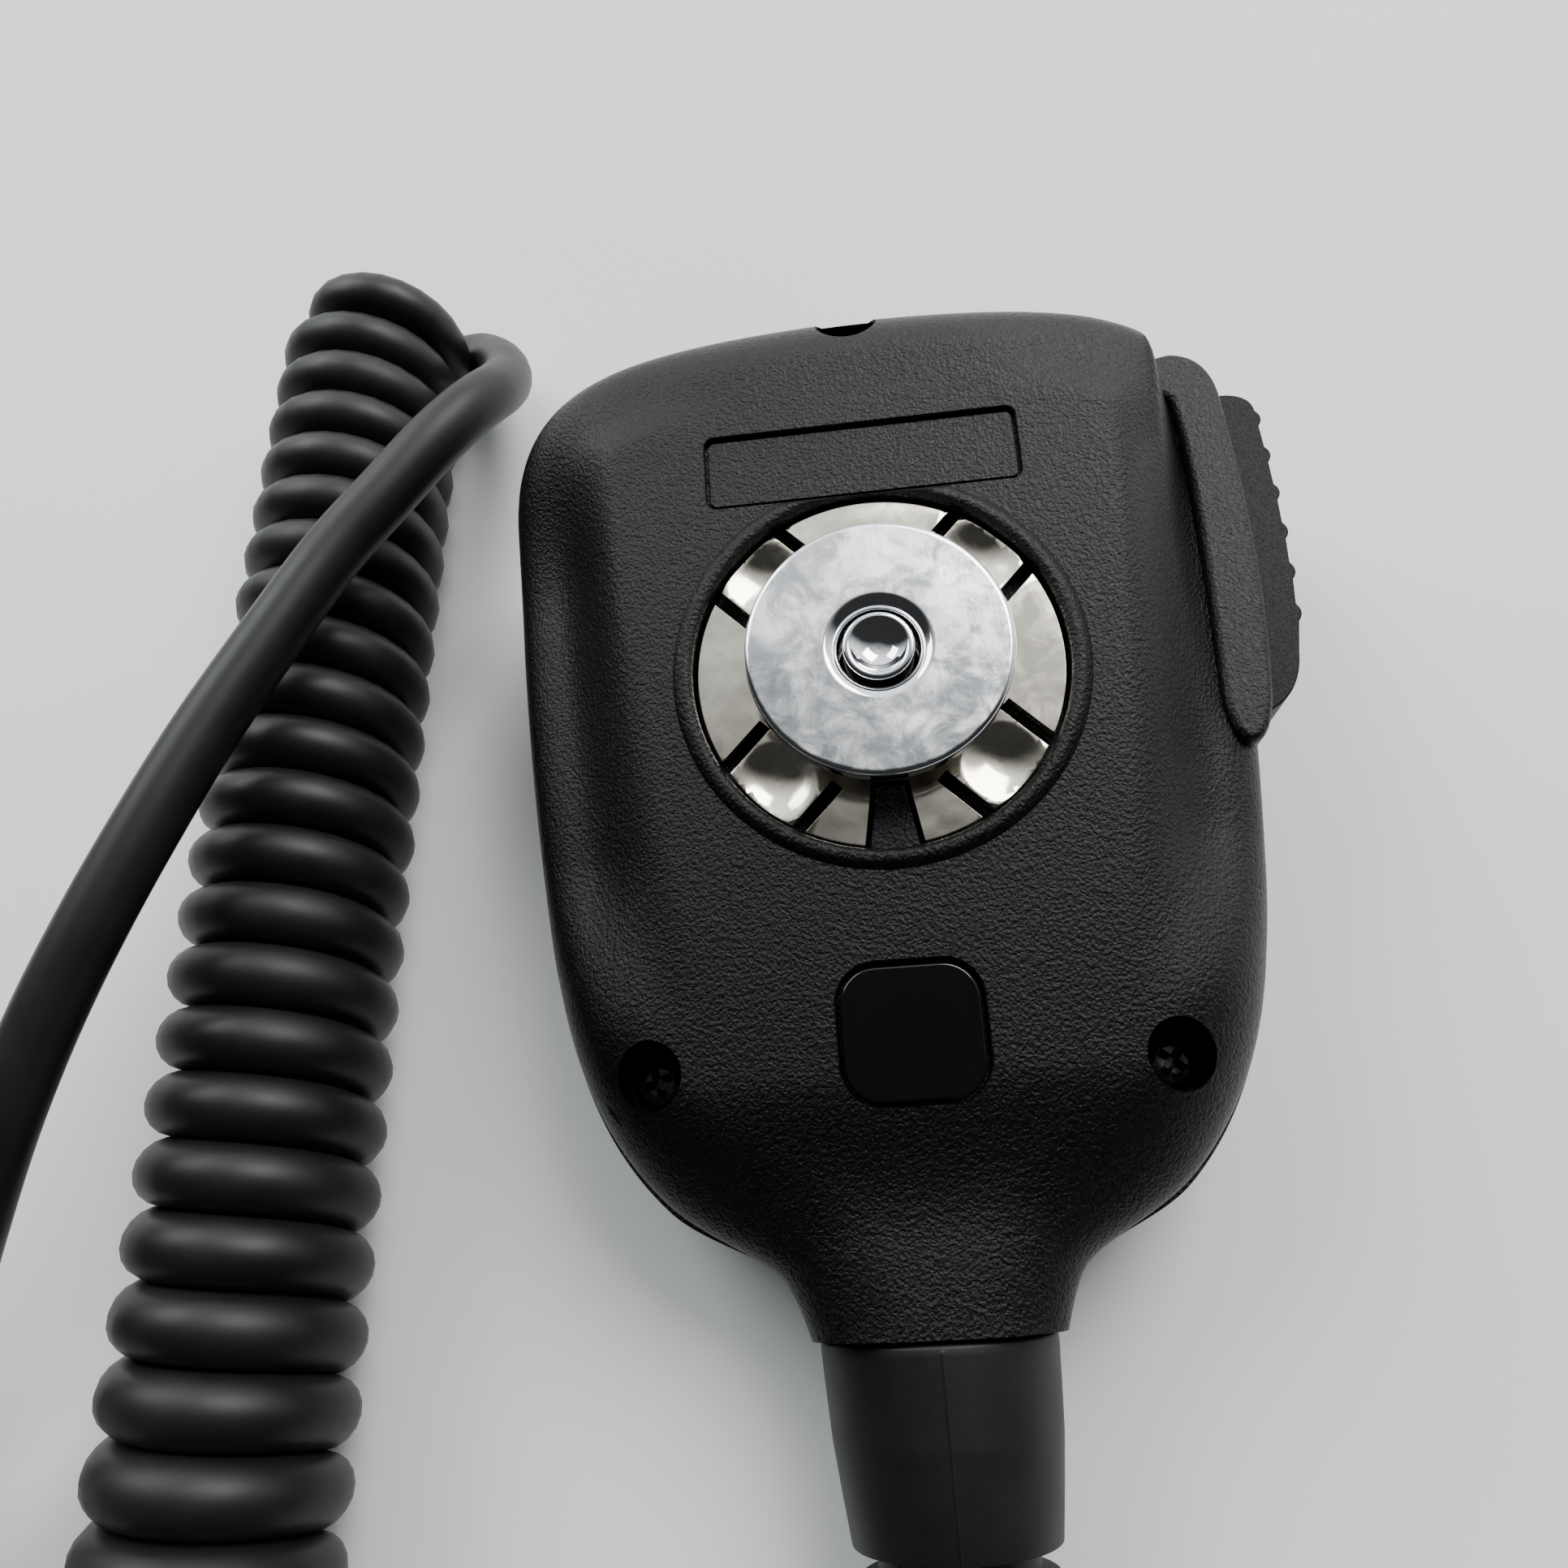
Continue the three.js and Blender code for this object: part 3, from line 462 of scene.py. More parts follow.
def object_coordinates(nodes):
    return nodes.new("ShaderNodeTexCoord").outputs["Object"]


def grained_plastic(name, base, rough, grain_scale, depth, strength=0.6, specular=0.24):
    """Moulded plastic with a wrinkled leathery grain and faint handling marks."""
    material, nodes, links, shader = principled(name)
    at = object_coordinates(nodes)
    warp = texture(nodes, links, "ShaderNodeTexNoise", grain_scale * 0.4, at, detail=4.0, roughness=0.65)
    mixed = nodes.new("ShaderNodeVectorMath")
    mixed.operation = "MULTIPLY_ADD"
    links.new(warp.outputs["Color"], mixed.inputs[0])
    mixed.inputs[1].default_value = (2.6 / grain_scale,) * 3
    links.new(at, mixed.inputs[2])
    cells = texture(nodes, links, "ShaderNodeTexVoronoi", grain_scale, mixed.outputs["Vector"])
    cells.feature = "SMOOTH_F1"
    cells.inputs["Smoothness"].default_value = 0.3
    fine = texture(nodes, links, "ShaderNodeTexNoise", grain_scale * 0.8, at, detail=5.0, roughness=0.7)
    cloud = texture(nodes, links, "ShaderNodeTexNoise", 110.0, at, detail=4.0)
    tone = colours(nodes, links, cloud.outputs["Fac"],
                   (0.3, tuple(c * 0.8 for c in base)), (0.7, tuple(c * 1.25 for c in base)))
    links.new(tone, shader.inputs["Base Color"])
    links.new(spread(nodes, links, cells.outputs["Distance"], rough - 0.07, rough + 0.1, 0.1, 0.7),
              shader.inputs["Roughness"])
    shader.inputs["Specular IOR Level"].default_value = specular
    bump(nodes, links, shader,
         (cells.outputs["Distance"], depth, strength), (fine.outputs["Fac"], depth * 0.8, strength))
    return material


def soft_rubber(name, base, rough, scale=2600.0, depth=0.02):
    """Matt moulded rubber or cable sheath with a faint fine texture."""
    material, nodes, links, shader = principled(name)
    at = object_coordinates(nodes)
    fine = texture(nodes, links, "ShaderNodeTexNoise", scale, at, detail=3.0, roughness=0.6)
    cloud = texture(nodes, links, "ShaderNodeTexNoise", 140.0, at, detail=4.0, roughness=0.55)
    tone = colours(nodes, links, cloud.outputs["Fac"],
                   (0.3, tuple(c * 0.8 for c in base)), (0.72, tuple(c * 1.25 for c in base)))
    links.new(tone, shader.inputs["Base Color"])
    links.new(spread(nodes, links, cloud.outputs["Fac"], rough - 0.05, rough + 0.07, 0.3, 0.7),
              shader.inputs["Roughness"])
    shader.inputs["Specular IOR Level"].default_value = 0.33
    bump(nodes, links, shader, (fine.outputs["Fac"], depth, 0.5))
    return material


def plated(name, light, dark, rough, mottle_scale, scratch=0.25, depth=0.004, wave=0.0):
    """Plated metal: a mottled colour, uneven roughness, fine scratches and, if asked, slow waves."""
    material, nodes, links, shader = principled(name)
    at = object_coordinates(nodes)
    cloud = texture(nodes, links, "ShaderNodeTexNoise", mottle_scale, at, detail=6.0, roughness=0.68)
    cloud.inputs["Distortion"].default_value = 0.6
    fine = texture(nodes, links, "ShaderNodeTexNoise", 2400.0, at, detail=2.0)
    stretch = nodes.new("ShaderNodeMapping")
    links.new(at, stretch.inputs["Vector"])
    stretch.inputs["Rotation"].default_value = (0, 0, 0.6)
    stretch.inputs["Scale"].default_value = (3200, 260, 400)
    lines = texture(nodes, links, "ShaderNodeTexNoise", 1.0, stretch.outputs["Vector"], detail=2.0)
    tone = colours(nodes, links, cloud.outputs["Fac"], (0.38, dark), (0.60, light))
    links.new(tone, shader.inputs["Base Color"])
    shader.inputs["Metallic"].default_value = 1.0
    links.new(spread(nodes, links, cloud.outputs["Fac"], rough * 0.55, rough * 1.5, 0.38, 0.62),
              shader.inputs["Roughness"])
    layers = [(lines.outputs["Fac"], depth, scratch), (fine.outputs["Fac"], depth, scratch)]
    if wave:
        slow = texture(nodes, links, "ShaderNodeTexNoise", 130.0, at, detail=2.0)
        layers.insert(0, (slow.outputs["Fac"], wave, 1.0))
    bump(nodes, links, shader, *layers)
    return material


def gloss(name, base, rough, clear=False):
    """Smooth polished plastic, black or clear."""
    material, nodes, links, shader = principled(name)
    at = object_coordinates(nodes)
    cloud = texture(nodes, links, "ShaderNodeTexNoise", 160.0, at, detail=3.0)
    fine = texture(nodes, links, "ShaderNodeTexNoise", 1800.0, at, detail=2.0)
    tone = colours(nodes, links, cloud.outputs["Fac"],
                   (0.3, tuple(c * 0.9 for c in base)), (0.7, tuple(min(1, c * 1.08) for c in base)))
    links.new(tone, shader.inputs["Base Color"])
    links.new(spread(nodes, links, fine.outputs["Fac"], rough * 0.8, rough * 1.4, 0.3, 0.7),
              shader.inputs["Roughness"])
    if clear:
        shader.inputs["Transmission Weight"].default_value = 0.92
        shader.inputs["IOR"].default_value = 1.49
    bump(nodes, links, shader, (cloud.outputs["Fac"], 0.02, 0.3))
    return material


def felt(name, base):
    """Fibrous cloth of the dust screen."""
    material, nodes, links, shader = principled(name)
    at = object_coordinates(nodes)
    fibres = texture(nodes, links, "ShaderNodeTexNoise", 5200.0, at, detail=5.0, roughness=0.7)
    tone = colours(nodes, links, fibres.outputs["Fac"],
                   (0.3, tuple(c * 0.5 for c in base)), (0.7, tuple(c * 1.6 for c in base)))
    links.new(tone, shader.inputs["Base Color"])
    shader.inputs["Roughness"].default_value = 0.95
    bump(nodes, links, shader, (fibres.outputs["Fac"], 0.08, 0.8))
    return material


def board_finish():
    """Solder mask with tracks showing through it."""
    material, nodes, links, shader = principled("board_green")
    at = object_coordinates(nodes)
    tracks = texture(nodes, links, "ShaderNodeTexVoronoi", 420.0, at)
    tracks.feature = "DISTANCE_TO_EDGE"
    tracks.distance = "EUCLIDEAN"
    tone = colours(nodes, links, tracks.outputs["Distance"],
                   (0.03, (0.09, 0.33, 0.14)), (0.06, (0.02, 0.13, 0.05)))
    links.new(tone, shader.inputs["Base Color"])
    shader.inputs["Roughness"].default_value = 0.32
    bump(nodes, links, shader, (tracks.outputs["Distance"], 0.03, 0.4))
    return material


FINISH = {
    "housing_black": grained_plastic("housing_black", (0.0018, 0.0019, 0.0021), 0.31, 3500.0, 0.075, 0.9),
    "lever_black": grained_plastic("lever_black", (0.0028, 0.0028, 0.003), 0.40, 4600.0, 0.012, 0.5, 0.10),
    "dark_rubber": soft_rubber("dark_rubber", (0.006, 0.006, 0.0062), 0.5),
    "cord_rubber": soft_rubber("cord_rubber", (0.0068, 0.007, 0.0074), 0.45, 3000.0, 0.012),
    "steel": plated("steel", (0.62, 0.62, 0.63), (0.42, 0.42, 0.43), 0.26, 500.0),
    "gloss_black": gloss("gloss_black", (0.0035, 0.0035, 0.0038), 0.1),
    "nickel": plated("nickel", (0.98, 0.92, 0.78), (0.88, 0.82, 0.68), 0.13, 300.0, 0.14, 0.002, 0.15),
    "zinc": plated("zinc", (0.96, 0.97, 0.98), (0.80, 0.83, 0.86), 0.24, 300.0, 0.6, 0.008, 0.16),
    "brass": plated("brass", (0.76, 0.60, 0.30), (0.60, 0.45, 0.20), 0.28, 500.0),
    "chip_black": grained_plastic("chip_black", (0.012, 0.012, 0.012), 0.6, 5200.0, 0.012, 0.4),
    "board_green": board_finish(),
    "clear_plastic": gloss("clear_plastic", (0.90, 0.92, 0.93), 0.08, clear=True),
    "felt": felt("felt", (0.03, 0.03, 0.032)),
    "wire_red": soft_rubber("wire_red", (0.52, 0.03, 0.02), 0.4),
    "wire_white": soft_rubber("wire_white", (0.68, 0.66, 0.60), 0.4),
    "wire_blue": soft_rubber("wire_blue", (0.03, 0.13, 0.45), 0.4),
    "wire_black": soft_rubber("wire_black", (0.012, 0.012, 0.012), 0.4),
    "gold": plated("gold", (0.92, 0.70, 0.32), (0.80, 0.56, 0.22), 0.16, 600.0),
}
# Screw steel made far darker than bare steel: the darkness is partly painted shade, standing in for the shade
# deep in the screw wells, which are modelled shallower than the real ones.
screw_steel_painted_shade = plated("screw_steel_painted_shade", (0.05, 0.05, 0.052), (0.02, 0.02, 0.021), 0.3, 700.0)
bright_rim = plated("bright_rim", (0.90, 0.91, 0.93), (0.82, 0.83, 0.86), 0.07, 300.0, 0.1, 0.002)

for row in frame["record"]["subparts"]:
    node = frame["nodes"][row["node"]]
    node.data.materials.clear()
    node.data.materials.append(FINISH[row["material_slot"]])
    node.data.shade_smooth()
    node.data.set_sharp_from_angle(angle=math.radians(32))


def finish_piece(obj, slot, body, *nodes, smooth_angle=32):
    """Gives a piece its finish and its body, and lets it stand for its CAD nodes."""
    if not any(obj.data.materials):
        obj.data.materials.clear()
        obj.data.materials.append(FINISH[slot])
    shade(obj, smooth_angle)
    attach(obj, body)
    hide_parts(*nodes)


finish_piece(cord, "cord_rubber", "housing", "cord_tail_mic", "cord_coil", "cord_tail_plug", smooth_angle=60)


# ---------------------------------------------------------------- housing plan and back surface
HALF_PLAN = (
    ((0, 34.7), (8.5, 34.6), (16.8, 33.9), (21.6, 32.2)),
    ((21.6, 32.2), (27.5, 30.1), (31.1, 26.4), (31.1, 19.6)),
    ((31.1, 19.6), (31.1, 8), (29.4, -6), (28.0, -15.8)),
    ((28.0, -15.8), (27.0, -23.5), (25.2, -31.6), (19.0, -37.5)),
    ((19.0, -37.5), (16.3, -40.1), (11.6, -41.6), (10.4, -43.3)),
    ((10.4, -43.3), (9.7, -44.4), (9.2, -45.8), (8.8, NECK_END_Y)),
)


def whole_plan(half):
    """Both sides of the plan, from the neck's right corner round the top to its left corner."""
    return np.vstack([half[::-1], half[1:] * [-1, 1]])


def plan_outline(step):
    """The housing's plan in even steps."""
    half = np.vstack([bezier(c, 60)[:-1] for c in HALF_PLAN] + [[HALF_PLAN[-1][-1]]])
    return whole_plan(resample(half, step))


def coarse_plan():
    """The housing's plan in few steps, for the walls inside."""
    half = np.vstack([bezier(c, 5)[:-1] for c in HALF_PLAN] + [[HALF_PLAN[-1][-1]]])
    return whole_plan(half)


def inset_plan(plan, distance):
    """The plan moved inwards along its normals; the neck's end stays straight."""
    along = np.vstack([plan[1] - plan[0], plan[2:] - plan[:-2], plan[-1] - plan[-2]])
    along /= np.linalg.norm(along, axis=1)[:, None]
    moved = plan + distance * np.c_[-along[:, 1], along[:, 0]]
    moved[[0, -1], 1] = NECK_END_Y + max(distance, 0)
    return moved


fine_plan = plan_outline(0.55)
back_plan = np.vstack([[(8.2, NECK_END_Y - NECK_RUN)], fine_plan, [(-8.2, NECK_END_Y - NECK_RUN)]])


def distance_to_plan(xy):
    """How far each point is from the plan's outline."""
    start, end = back_plan, np.roll(back_plan, -1, axis=0)
    edge = end - start
    best = np.full(len(xy), np.inf)
    for a, e in zip(start, edge):
        t = np.clip(((xy - a) @ e) / (e @ e), 0, 1)[:, None]
        best = np.minimum(best, np.linalg.norm(xy - a - t * e, axis=1))
    return best


def edge_drop(inset, radius, height):
    """How far an elliptical edge rounding lies below its top, at a distance from the outline."""
    return height * (1 - np.sqrt(np.clip(1 - (1 - np.minimum(inset / radius, 1)) ** 2, 0, 1)))


def back_surface(xy):
    """Height of the back: a sloped plateau, rounded ends, shoulders, and a valley beside the bezel."""
    x, y = xy[:, 0], xy[:, 1]
    inset = distance_to_plan(xy)
    to_neck = smoothstep(-y, 30, 41)
    plateau = (BACK_HEIGHT + BACK_SLOPE * y) * (1 - to_neck) + NECK_TOP * to_neck
    ends = plateau - edge_drop(inset, END_RADIUS, np.minimum(END_RADIUS, plateau - PARTING_Z - 1.2))
    shoulder = plateau - (3.4 + 2.6 * smoothstep(y, -22, 22)) - edge_drop(inset, SHOULDER_RADIUS, 3.4)
    rise = smoothstep(inset, 3.6, 11.4)
    side = shoulder * (1 - rise) + plateau * rise
    weight = smoothstep(y, -27, -12) * (1 - smoothstep(y, 10, 33)) * smoothstep(np.abs(x), 9, 19)
    height = ends * (1 - weight) + side * weight
    valley = smoothstep(x, 24.6, 28.0) * smoothstep(y, -9, -3)
    return height - np.maximum(height - VALLEY_Z, 0) * valley


def symmetric_solid(name, rings):
    """A closed solid through rings that share a left-right symmetric plan."""
    rings = np.asarray(rings, float)
    count, size = rings.shape[:2]
    faces = []
    for r in range(count - 1):
        a, b = r * size, (r + 1) * size
        faces += [(a + i, a + (i + 1) % size, b + (i + 1) % size, b + i) for i in range(size)]
    half = size // 2
    for base, step in ((0, -1), ((count - 1) * size, 1)):
        for k in range(half):
            quad = (base + k, base + k + 1, base + size - 2 - k, base + size - 1 - k)
            faces.append(tuple(dict.fromkeys(quad))[::step])
    return solid(name, rings.reshape(-1, 3), faces)


def rear_skin():
    """The rear half as one solid: rings shrink from the plan to a line along the middle."""
    spine = np.c_[np.zeros(len(back_plan)), np.clip(back_plan[:, 1], NECK_END_Y - 6, 18)]
    rings = [np.c_[back_plan, np.full(len(back_plan), PARTING_Z + GAP / 2)]]
    inward = np.r_[0.006, 0.014, 0.024, 0.036, 0.05, 0.066, 0.084, np.linspace(0.104, 0.44, 22),
                   np.linspace(0.48, 0.985, 12)]
    for s in inward:
        q = back_plan + (spine - back_plan) * s
        rings.append(np.c_[q, back_surface(q)])
    skin = symmetric_solid("rear_shell", rings)
    return cut(skin, box("past_neck", (40, 2 * NECK_RUN, 40), (0, NECK_END_Y - NECK_RUN, 20)))


# ---------------------------------------------------------------- rear housing
def outline_path(start, *segments):
    """A closed plan outline from straight (one point) and curved (two or three points) segments."""
    line = [np.array([start], float)]
    for segment in segments:
        if len(segment) == 1:
            line.append(np.array(segment, float))
        else:
            line.append(bezier([line[-1][-1], *segment], 14)[1:])
    return np.vstack(line)


def bezel(name, z0, z1):
    """Raised frame round the lever's slot."""
    frame_plan = outline_path(
        (22.8, 30.4), [(28.4, 31.2)], [(31.6, 30.8), (31.95, 26.5)],
        [(32.2, 16), (31.9, 6), (30.3, -3.0)], [(29.5, -7.3), (27.7, -7.0)],
        [(26.4, -6.4), (26.4, -3.0)], [(27.3, 8), (28.2, 18), (27.6, 26.0)])
    return prism(name, frame_plan[::-1], z0, z1, round_by=1.0, segments=5)


def lever_slot(name):
    outline = [(24.5, -4.4), (38.5, -5.4), (38.5, 29.1), (24.5, 28.9)]
    return prism(name, outline, LEVER_Z[0] - LEVER_GAP, LEVER_Z[1] + LEVER_GAP)


def cavity(name, z0, z1):
    """Room inside the walls; it ends short of the neck."""
    outline = inset_plan(coarse_plan(), WALL)
    outline = outline[outline[:, 1] > -37.0]
    return prism(name, outline, z0, z1)


def neck_bore(name):
    """Stepped bore of the neck, turned about the strain relief's axis."""
    bore = turned(name, [(7.0, -34.0), (7.0, -43.4), (5.3, -43.4), (5.3, -50.0)])
    return transform(bore, Matrix.Translation((0, 0, RELIEF_Z)) @ Matrix.Rotation(-math.pi / 2, 4, "X"))


def recess(name, size, centre_y, depth, growth=0.0):
    """Cutter for a shallow rounded recess in the sloping back, with flared walls."""
    width, height, corner = (size[0] + growth, size[1] + growth, size[2] + growth / 2)
    rings = []
    for z, flare in ((-depth, -0.10), (-depth + 0.12, 0.0), (-0.12, 0.02), (0.0, 0.12), (0.6, 0.7)):
        plan = rounded_rectangle(width + 2 * flare, height + 2 * flare, corner + flare, (0, centre_y))
        rings.append(np.c_[plan, BACK_HEIGHT + z + BACK_SLOPE * plan[:, 1]])
    return loft(name, rings)


def label_groove():
    """Cutter for the fine groove round the floor of the name-plate recess."""
    width, height, corner = LABEL_SIZE
    section = []
    for shrink, z in ((-0.08, -0.1), (-0.04, -0.72), (0.26, -0.72), (0.34, -0.1)):
        plan = rounded_rectangle(width - 2 * shrink, height - 2 * shrink, corner - shrink, (0, LABEL_Y))
        section.append(np.c_[plan, BACK_HEIGHT + z + BACK_SLOPE * plan[:, 1]])
    return loft("groove", section, closed=True)


def wedge_outline(inner, outer, y_inner=-9.6, y_outer=-15.0):
    """Plan of the housing's wedge that fills the spring plate's open sector."""
    return [(-inner, y_inner), (-outer, y_outer), (outer, y_outer), (inner, y_inner)]


def rear_shell():
    """Rear half of the case: hollow, with bosses, bezel, collar, recesses and screw wells."""
    shell = rear_skin()
    cut(shell, cavity("room", PARTING_Z - 2, CAVITY_TOP))
    room = rounded_rectangle(37, 52, 8, (0, -4.5))
    cut(shell, prism("upper_room", room, 14, BACK_HEIGHT - 2.6, BACK_SLOPE))
    inside_wall = inset_plan(coarse_plan(), 0.8)
    for x, y, _ in SCREWS:
        boss = post("boss", 4.1, PARTING_Z, min(BACK_HEIGHT + BACK_SLOPE * y - 3.2, 21), (x, y))
        combine(boss, "INTERSECT", prism("bosses", inside_wall, PARTING_Z + GAP / 2, 30))
        add(shell, boss)
    backing = tilted(post("backing", COLLAR_OUTER + 1, -5.2, -1.2, sides=96))
    lip = bezel("bezel", 9.0, BEZEL_Z[1])
    cut(lip, box("below", (20, 60, 8), (30, 10, PARTING_Z - 4 + GAP / 2)))
    add(shell, backing, lip, post("pin_boss", PIN_BOSS_RADIUS, LEVER_Z[1] + LEVER_GAP, 17.6, PIVOT))
    collar = turned("collar", rounded([
        (COLLAR_INNER - 0.6, -3), (COLLAR_OUTER + 0.4, -3), (COLLAR_OUTER + 0.2, -0.15),
        (COLLAR_OUTER - 0.15, 0.22), (COLLAR_OUTER - 0.6, 0.5), (COLLAR_INNER + 0.35, 0.5),
        (COLLAR_INNER, 0.15), (COLLAR_INNER - 0.6, -3)], 0.35), 160)
    add(shell, tilted(collar))
    cut(shell, tilted(post("plate_room", COLLAR_INNER, -2.3, 6, sides=160)))
    wedge = prism("wedge", wedge_outline(1.0, 2.0), -2.5, -0.62)
    combine(wedge, "INTERSECT", post("round_end", COLLAR_INNER - 0.02, -3, 3, sides=160))
    add(shell, tilted(bevel(wedge, 0.12, 2)))
    cut(shell, tilted(post("stud_bore", 3.4, -8, 0)))
    cut(shell, recess("label", LABEL_SIZE, LABEL_Y, 0.3), recess("inlay_room", INLAY_SIZE, INLAY_Y, 1.1, 0.6))
    cut(shell, label_groove())
    for (x, y, radius), (screw_x, screw_y, _) in zip(WELLS, SCREWS):
        well = post("well", radius, SCREW_SEAT_Z, 40, (x, y), 64)
        combine(well, "INTERSECT", prism("wall", inside_wall, 10, 41))
        cut(shell, well, post("shank_bore", 1.6, 10, 15, (screw_x, screw_y)))
    cut(shell, neck_bore("bore"), lever_slot("slot"), post("pin_bore", PIN_RADIUS + GAP, 10, 17.7, PIVOT, 32))
    return shell


finish_piece(rear_shell(), "housing_black", "housing", "rear_housing")


# ---------------------------------------------------------------- front housing
def front_shell():
    """Front half of the case: it lies face down, with a grille, bosses and a lip at the neck end."""
    rings = []
    rounding = [(3.4, 0.0), (2.5, 0.12), (1.8, 0.38), (1.2, 0.85), (0.75, 1.5), (0.4, 2.4),
                (0.15, 3.6), (0.05, 5.2), (0.0, PARTING_Z - GAP / 2)]
    for inset, z in rounding:
        ring = inset_plan(fine_plan, inset)
        lip = 0.4 * smoothstep(-ring[:, 1], 8, 26) * (1 - smoothstep(-ring[:, 1], 38, 43))
        ring = ring * np.c_[1 + lip / 30, np.where(ring[:, 1] < -20, 1 + lip / 40, 1)]
        rings.append(np.c_[ring, np.full(len(ring), z)])
    shell = symmetric_solid("front_shell", rings)
    cut(shell, cavity("room", FLOOR_THICKNESS, PARTING_Z + 2))
    inside_wall = inset_plan(coarse_plan(), 0.8)
    for x, y, _ in SCREWS:
        boss = post("boss", 3.4, 1.5, PARTING_Z, (x, y))
        combine(boss, "INTERSECT", prism("bosses", inside_wall, 1, PARTING_Z - GAP / 2))
        add(shell, boss)
    lip = bezel("bezel", BEZEL_Z[0], 16.0)
    cut(lip, box("above", (20, 60, 8), (30, 10, PARTING_Z + 4 - GAP / 2)))
    add(shell, lip, post("pin_boss", PIN_BOSS_RADIUS, 1.5, LEVER_Z[0] - LEVER_GAP, PIVOT),
        *[post("board_boss", 2.6, 1.5, 9.3, at) for at in BOARD_SCREWS])
    dish = [(13.3, -1), (13.3, -0.05), (13.15, 0.1), (13.05, 0.5)]
    cut(shell, turned("grille_dish", dish, 128, (0, GRILLE_Y)))
    for row in range(-2, 3):
        length = 2 * math.sqrt(11**2 - (row * SLAT_PITCH) ** 2) - 2
        slot = rounded_rectangle(length, 1.5, 0.7, (0, GRILLE_Y + row * SLAT_PITCH))
        cut(shell, prism("slot", slot, -1, 4))
    for x, y in [screw[:2] for screw in SCREWS] + list(BOARD_SCREWS):
        cut(shell, post("screw_bore", 1.35, 3.4, 20, (x, y), 24))
    cut(shell, neck_bore("bore"), lever_slot("slot"), post("pin_bore", PIN_RADIUS + GAP, 3.2, 14, PIVOT, 32))
    return shell


finish_piece(front_shell(), "housing_black", "housing", "front_housing")


# ---------------------------------------------------------------- screws, inlay, button
def pan_screw(name, radius, height, shank, length, place_at, turn):
    """Pan-head screw with a tapered cross recess."""
    head = turned(name, [(0, -length), (shank * 0.6, -length), (shank, -length + 1), (shank, 0)]
                  + rounded([(shank, 0), (radius, 0), (radius, height * 0.4), (radius * 0.86, height * 0.8),
                             (radius * 0.55, height), (0, height)], 0.3), 48)
    arm = radius * 0.58
    for quarter in (0, 1):
        rings = [[(-w, -t, z), (w, -t, z), (w, t, z), (-w, t, z)]
                 for w, t, z in ((arm * 0.35, 0.16, height - 1.1), (arm, 0.34, height + 0.15))]
        blade = loft("blade", rings)
        cut(head, transform(blade, Matrix.Rotation(quarter * math.pi / 2, 4, "Z")))
    return transform(head, Matrix.Translation(place_at) @ Matrix.Rotation(turn, 4, "Z"))


for (x, y, radius), side, turn in zip(SCREWS, ("left", "right", "top"), (0.35, 0.9, 0.35)):
    screw = pan_screw(f"case_screw_{side}", radius, 1.5, 1.05, 9.8, (x, y, SCREW_SEAT_Z + GAP), turn)
    # The screws take the darkened steel, whose darkness is partly painted shade of the deep wells.
    screw.data.materials.clear()
    screw.data.materials.append(screw_steel_painted_shade)
    finish_piece(screw, "steel", "housing", f"housing_screw_{side}")

inlay_plan = rounded_rectangle(*INLAY_SIZE, (0, INLAY_Y))
inlay = prism("inlay_tile", inlay_plan, BACK_HEIGHT - 0.8, BACK_HEIGHT - 0.15, BACK_SLOPE, 0.22, 4)
finish_piece(inlay, "gloss_black", "housing", "gloss_inlay", smooth_angle=50)


def button_plate():
    """Round spring plate: arcs and dished petals joined under the button."""
    top, bottom = -PLATE_DROP, -PLATE_DROP - PLATE_THICKNESS
    plate = turned("plate", rounded([(3.1, bottom), (PLATE_RADIUS, bottom), (PLATE_RADIUS, top),
                                     (3.1, top), (3.1, bottom)], 0.1, 3), 160)
    for quarter in range(4):
        turn = Matrix.Rotation(math.pi / 4 + quarter * math.pi / 2, 4, "Z")
        tools = [box("slit", (6, 1.1, 4), (12.2, side * 3.7, top)) for side in (-1, 1)]
        dish = [(0.0, -0.60), (0.5, -0.585), (1.0, -0.53), (1.5, -0.43), (2.0, -0.30), (2.5, -0.16),
                (2.9, -0.06), (3.3, 0.0), (3.7, 0.05), (3.7, 2.0), (0, 2.0)]
        tools.append(turned("dish", [(r, top + z) for r, z in dish], 64, (11.9, 0)))
        cut(plate, *[transform(tool, turn) for tool in tools])
    cut(plate, prism("wedge_room", wedge_outline(1.4, 2.4, -9.2), -3, 2))
    return tilted(bevel(plate, 0.08, 2, 50))


finish_piece(button_plate(), "nickel", "housing", "spring_plate", smooth_angle=38)

def button_disc():
    """Round hang-up button: a mottled face inside a bright rim."""
    section = [(3.0, BUTTON_BASE), (BUTTON_RADIUS, BUTTON_BASE), (BUTTON_RADIUS, BUTTON_TOP),
               (3.95, BUTTON_TOP), (3.45, BUTTON_TOP - 0.3), (3.0, BUTTON_TOP - 0.8), (3.0, BUTTON_BASE)]
    disc = turned("button_disc", section[:1] + rounded(section, 0.5, 6), 160)
    disc.data.materials.append(FINISH["zinc"])
    disc.data.materials.append(bright_rim)
    for polygon in disc.data.polygons:
        centre = np.array(polygon.center) / MM + FOOTPRINT_CENTRE
        reach = math.hypot(centre[0], centre[1])
        on_face = polygon.normal.z > 0.985 and 4.1 < reach < BUTTON_RADIUS - 0.35
        polygon.material_index = 0 if on_face else 1
    return tilted(disc)


finish_piece(button_disc(), "zinc", "housing", "hang_up_button", smooth_angle=50)


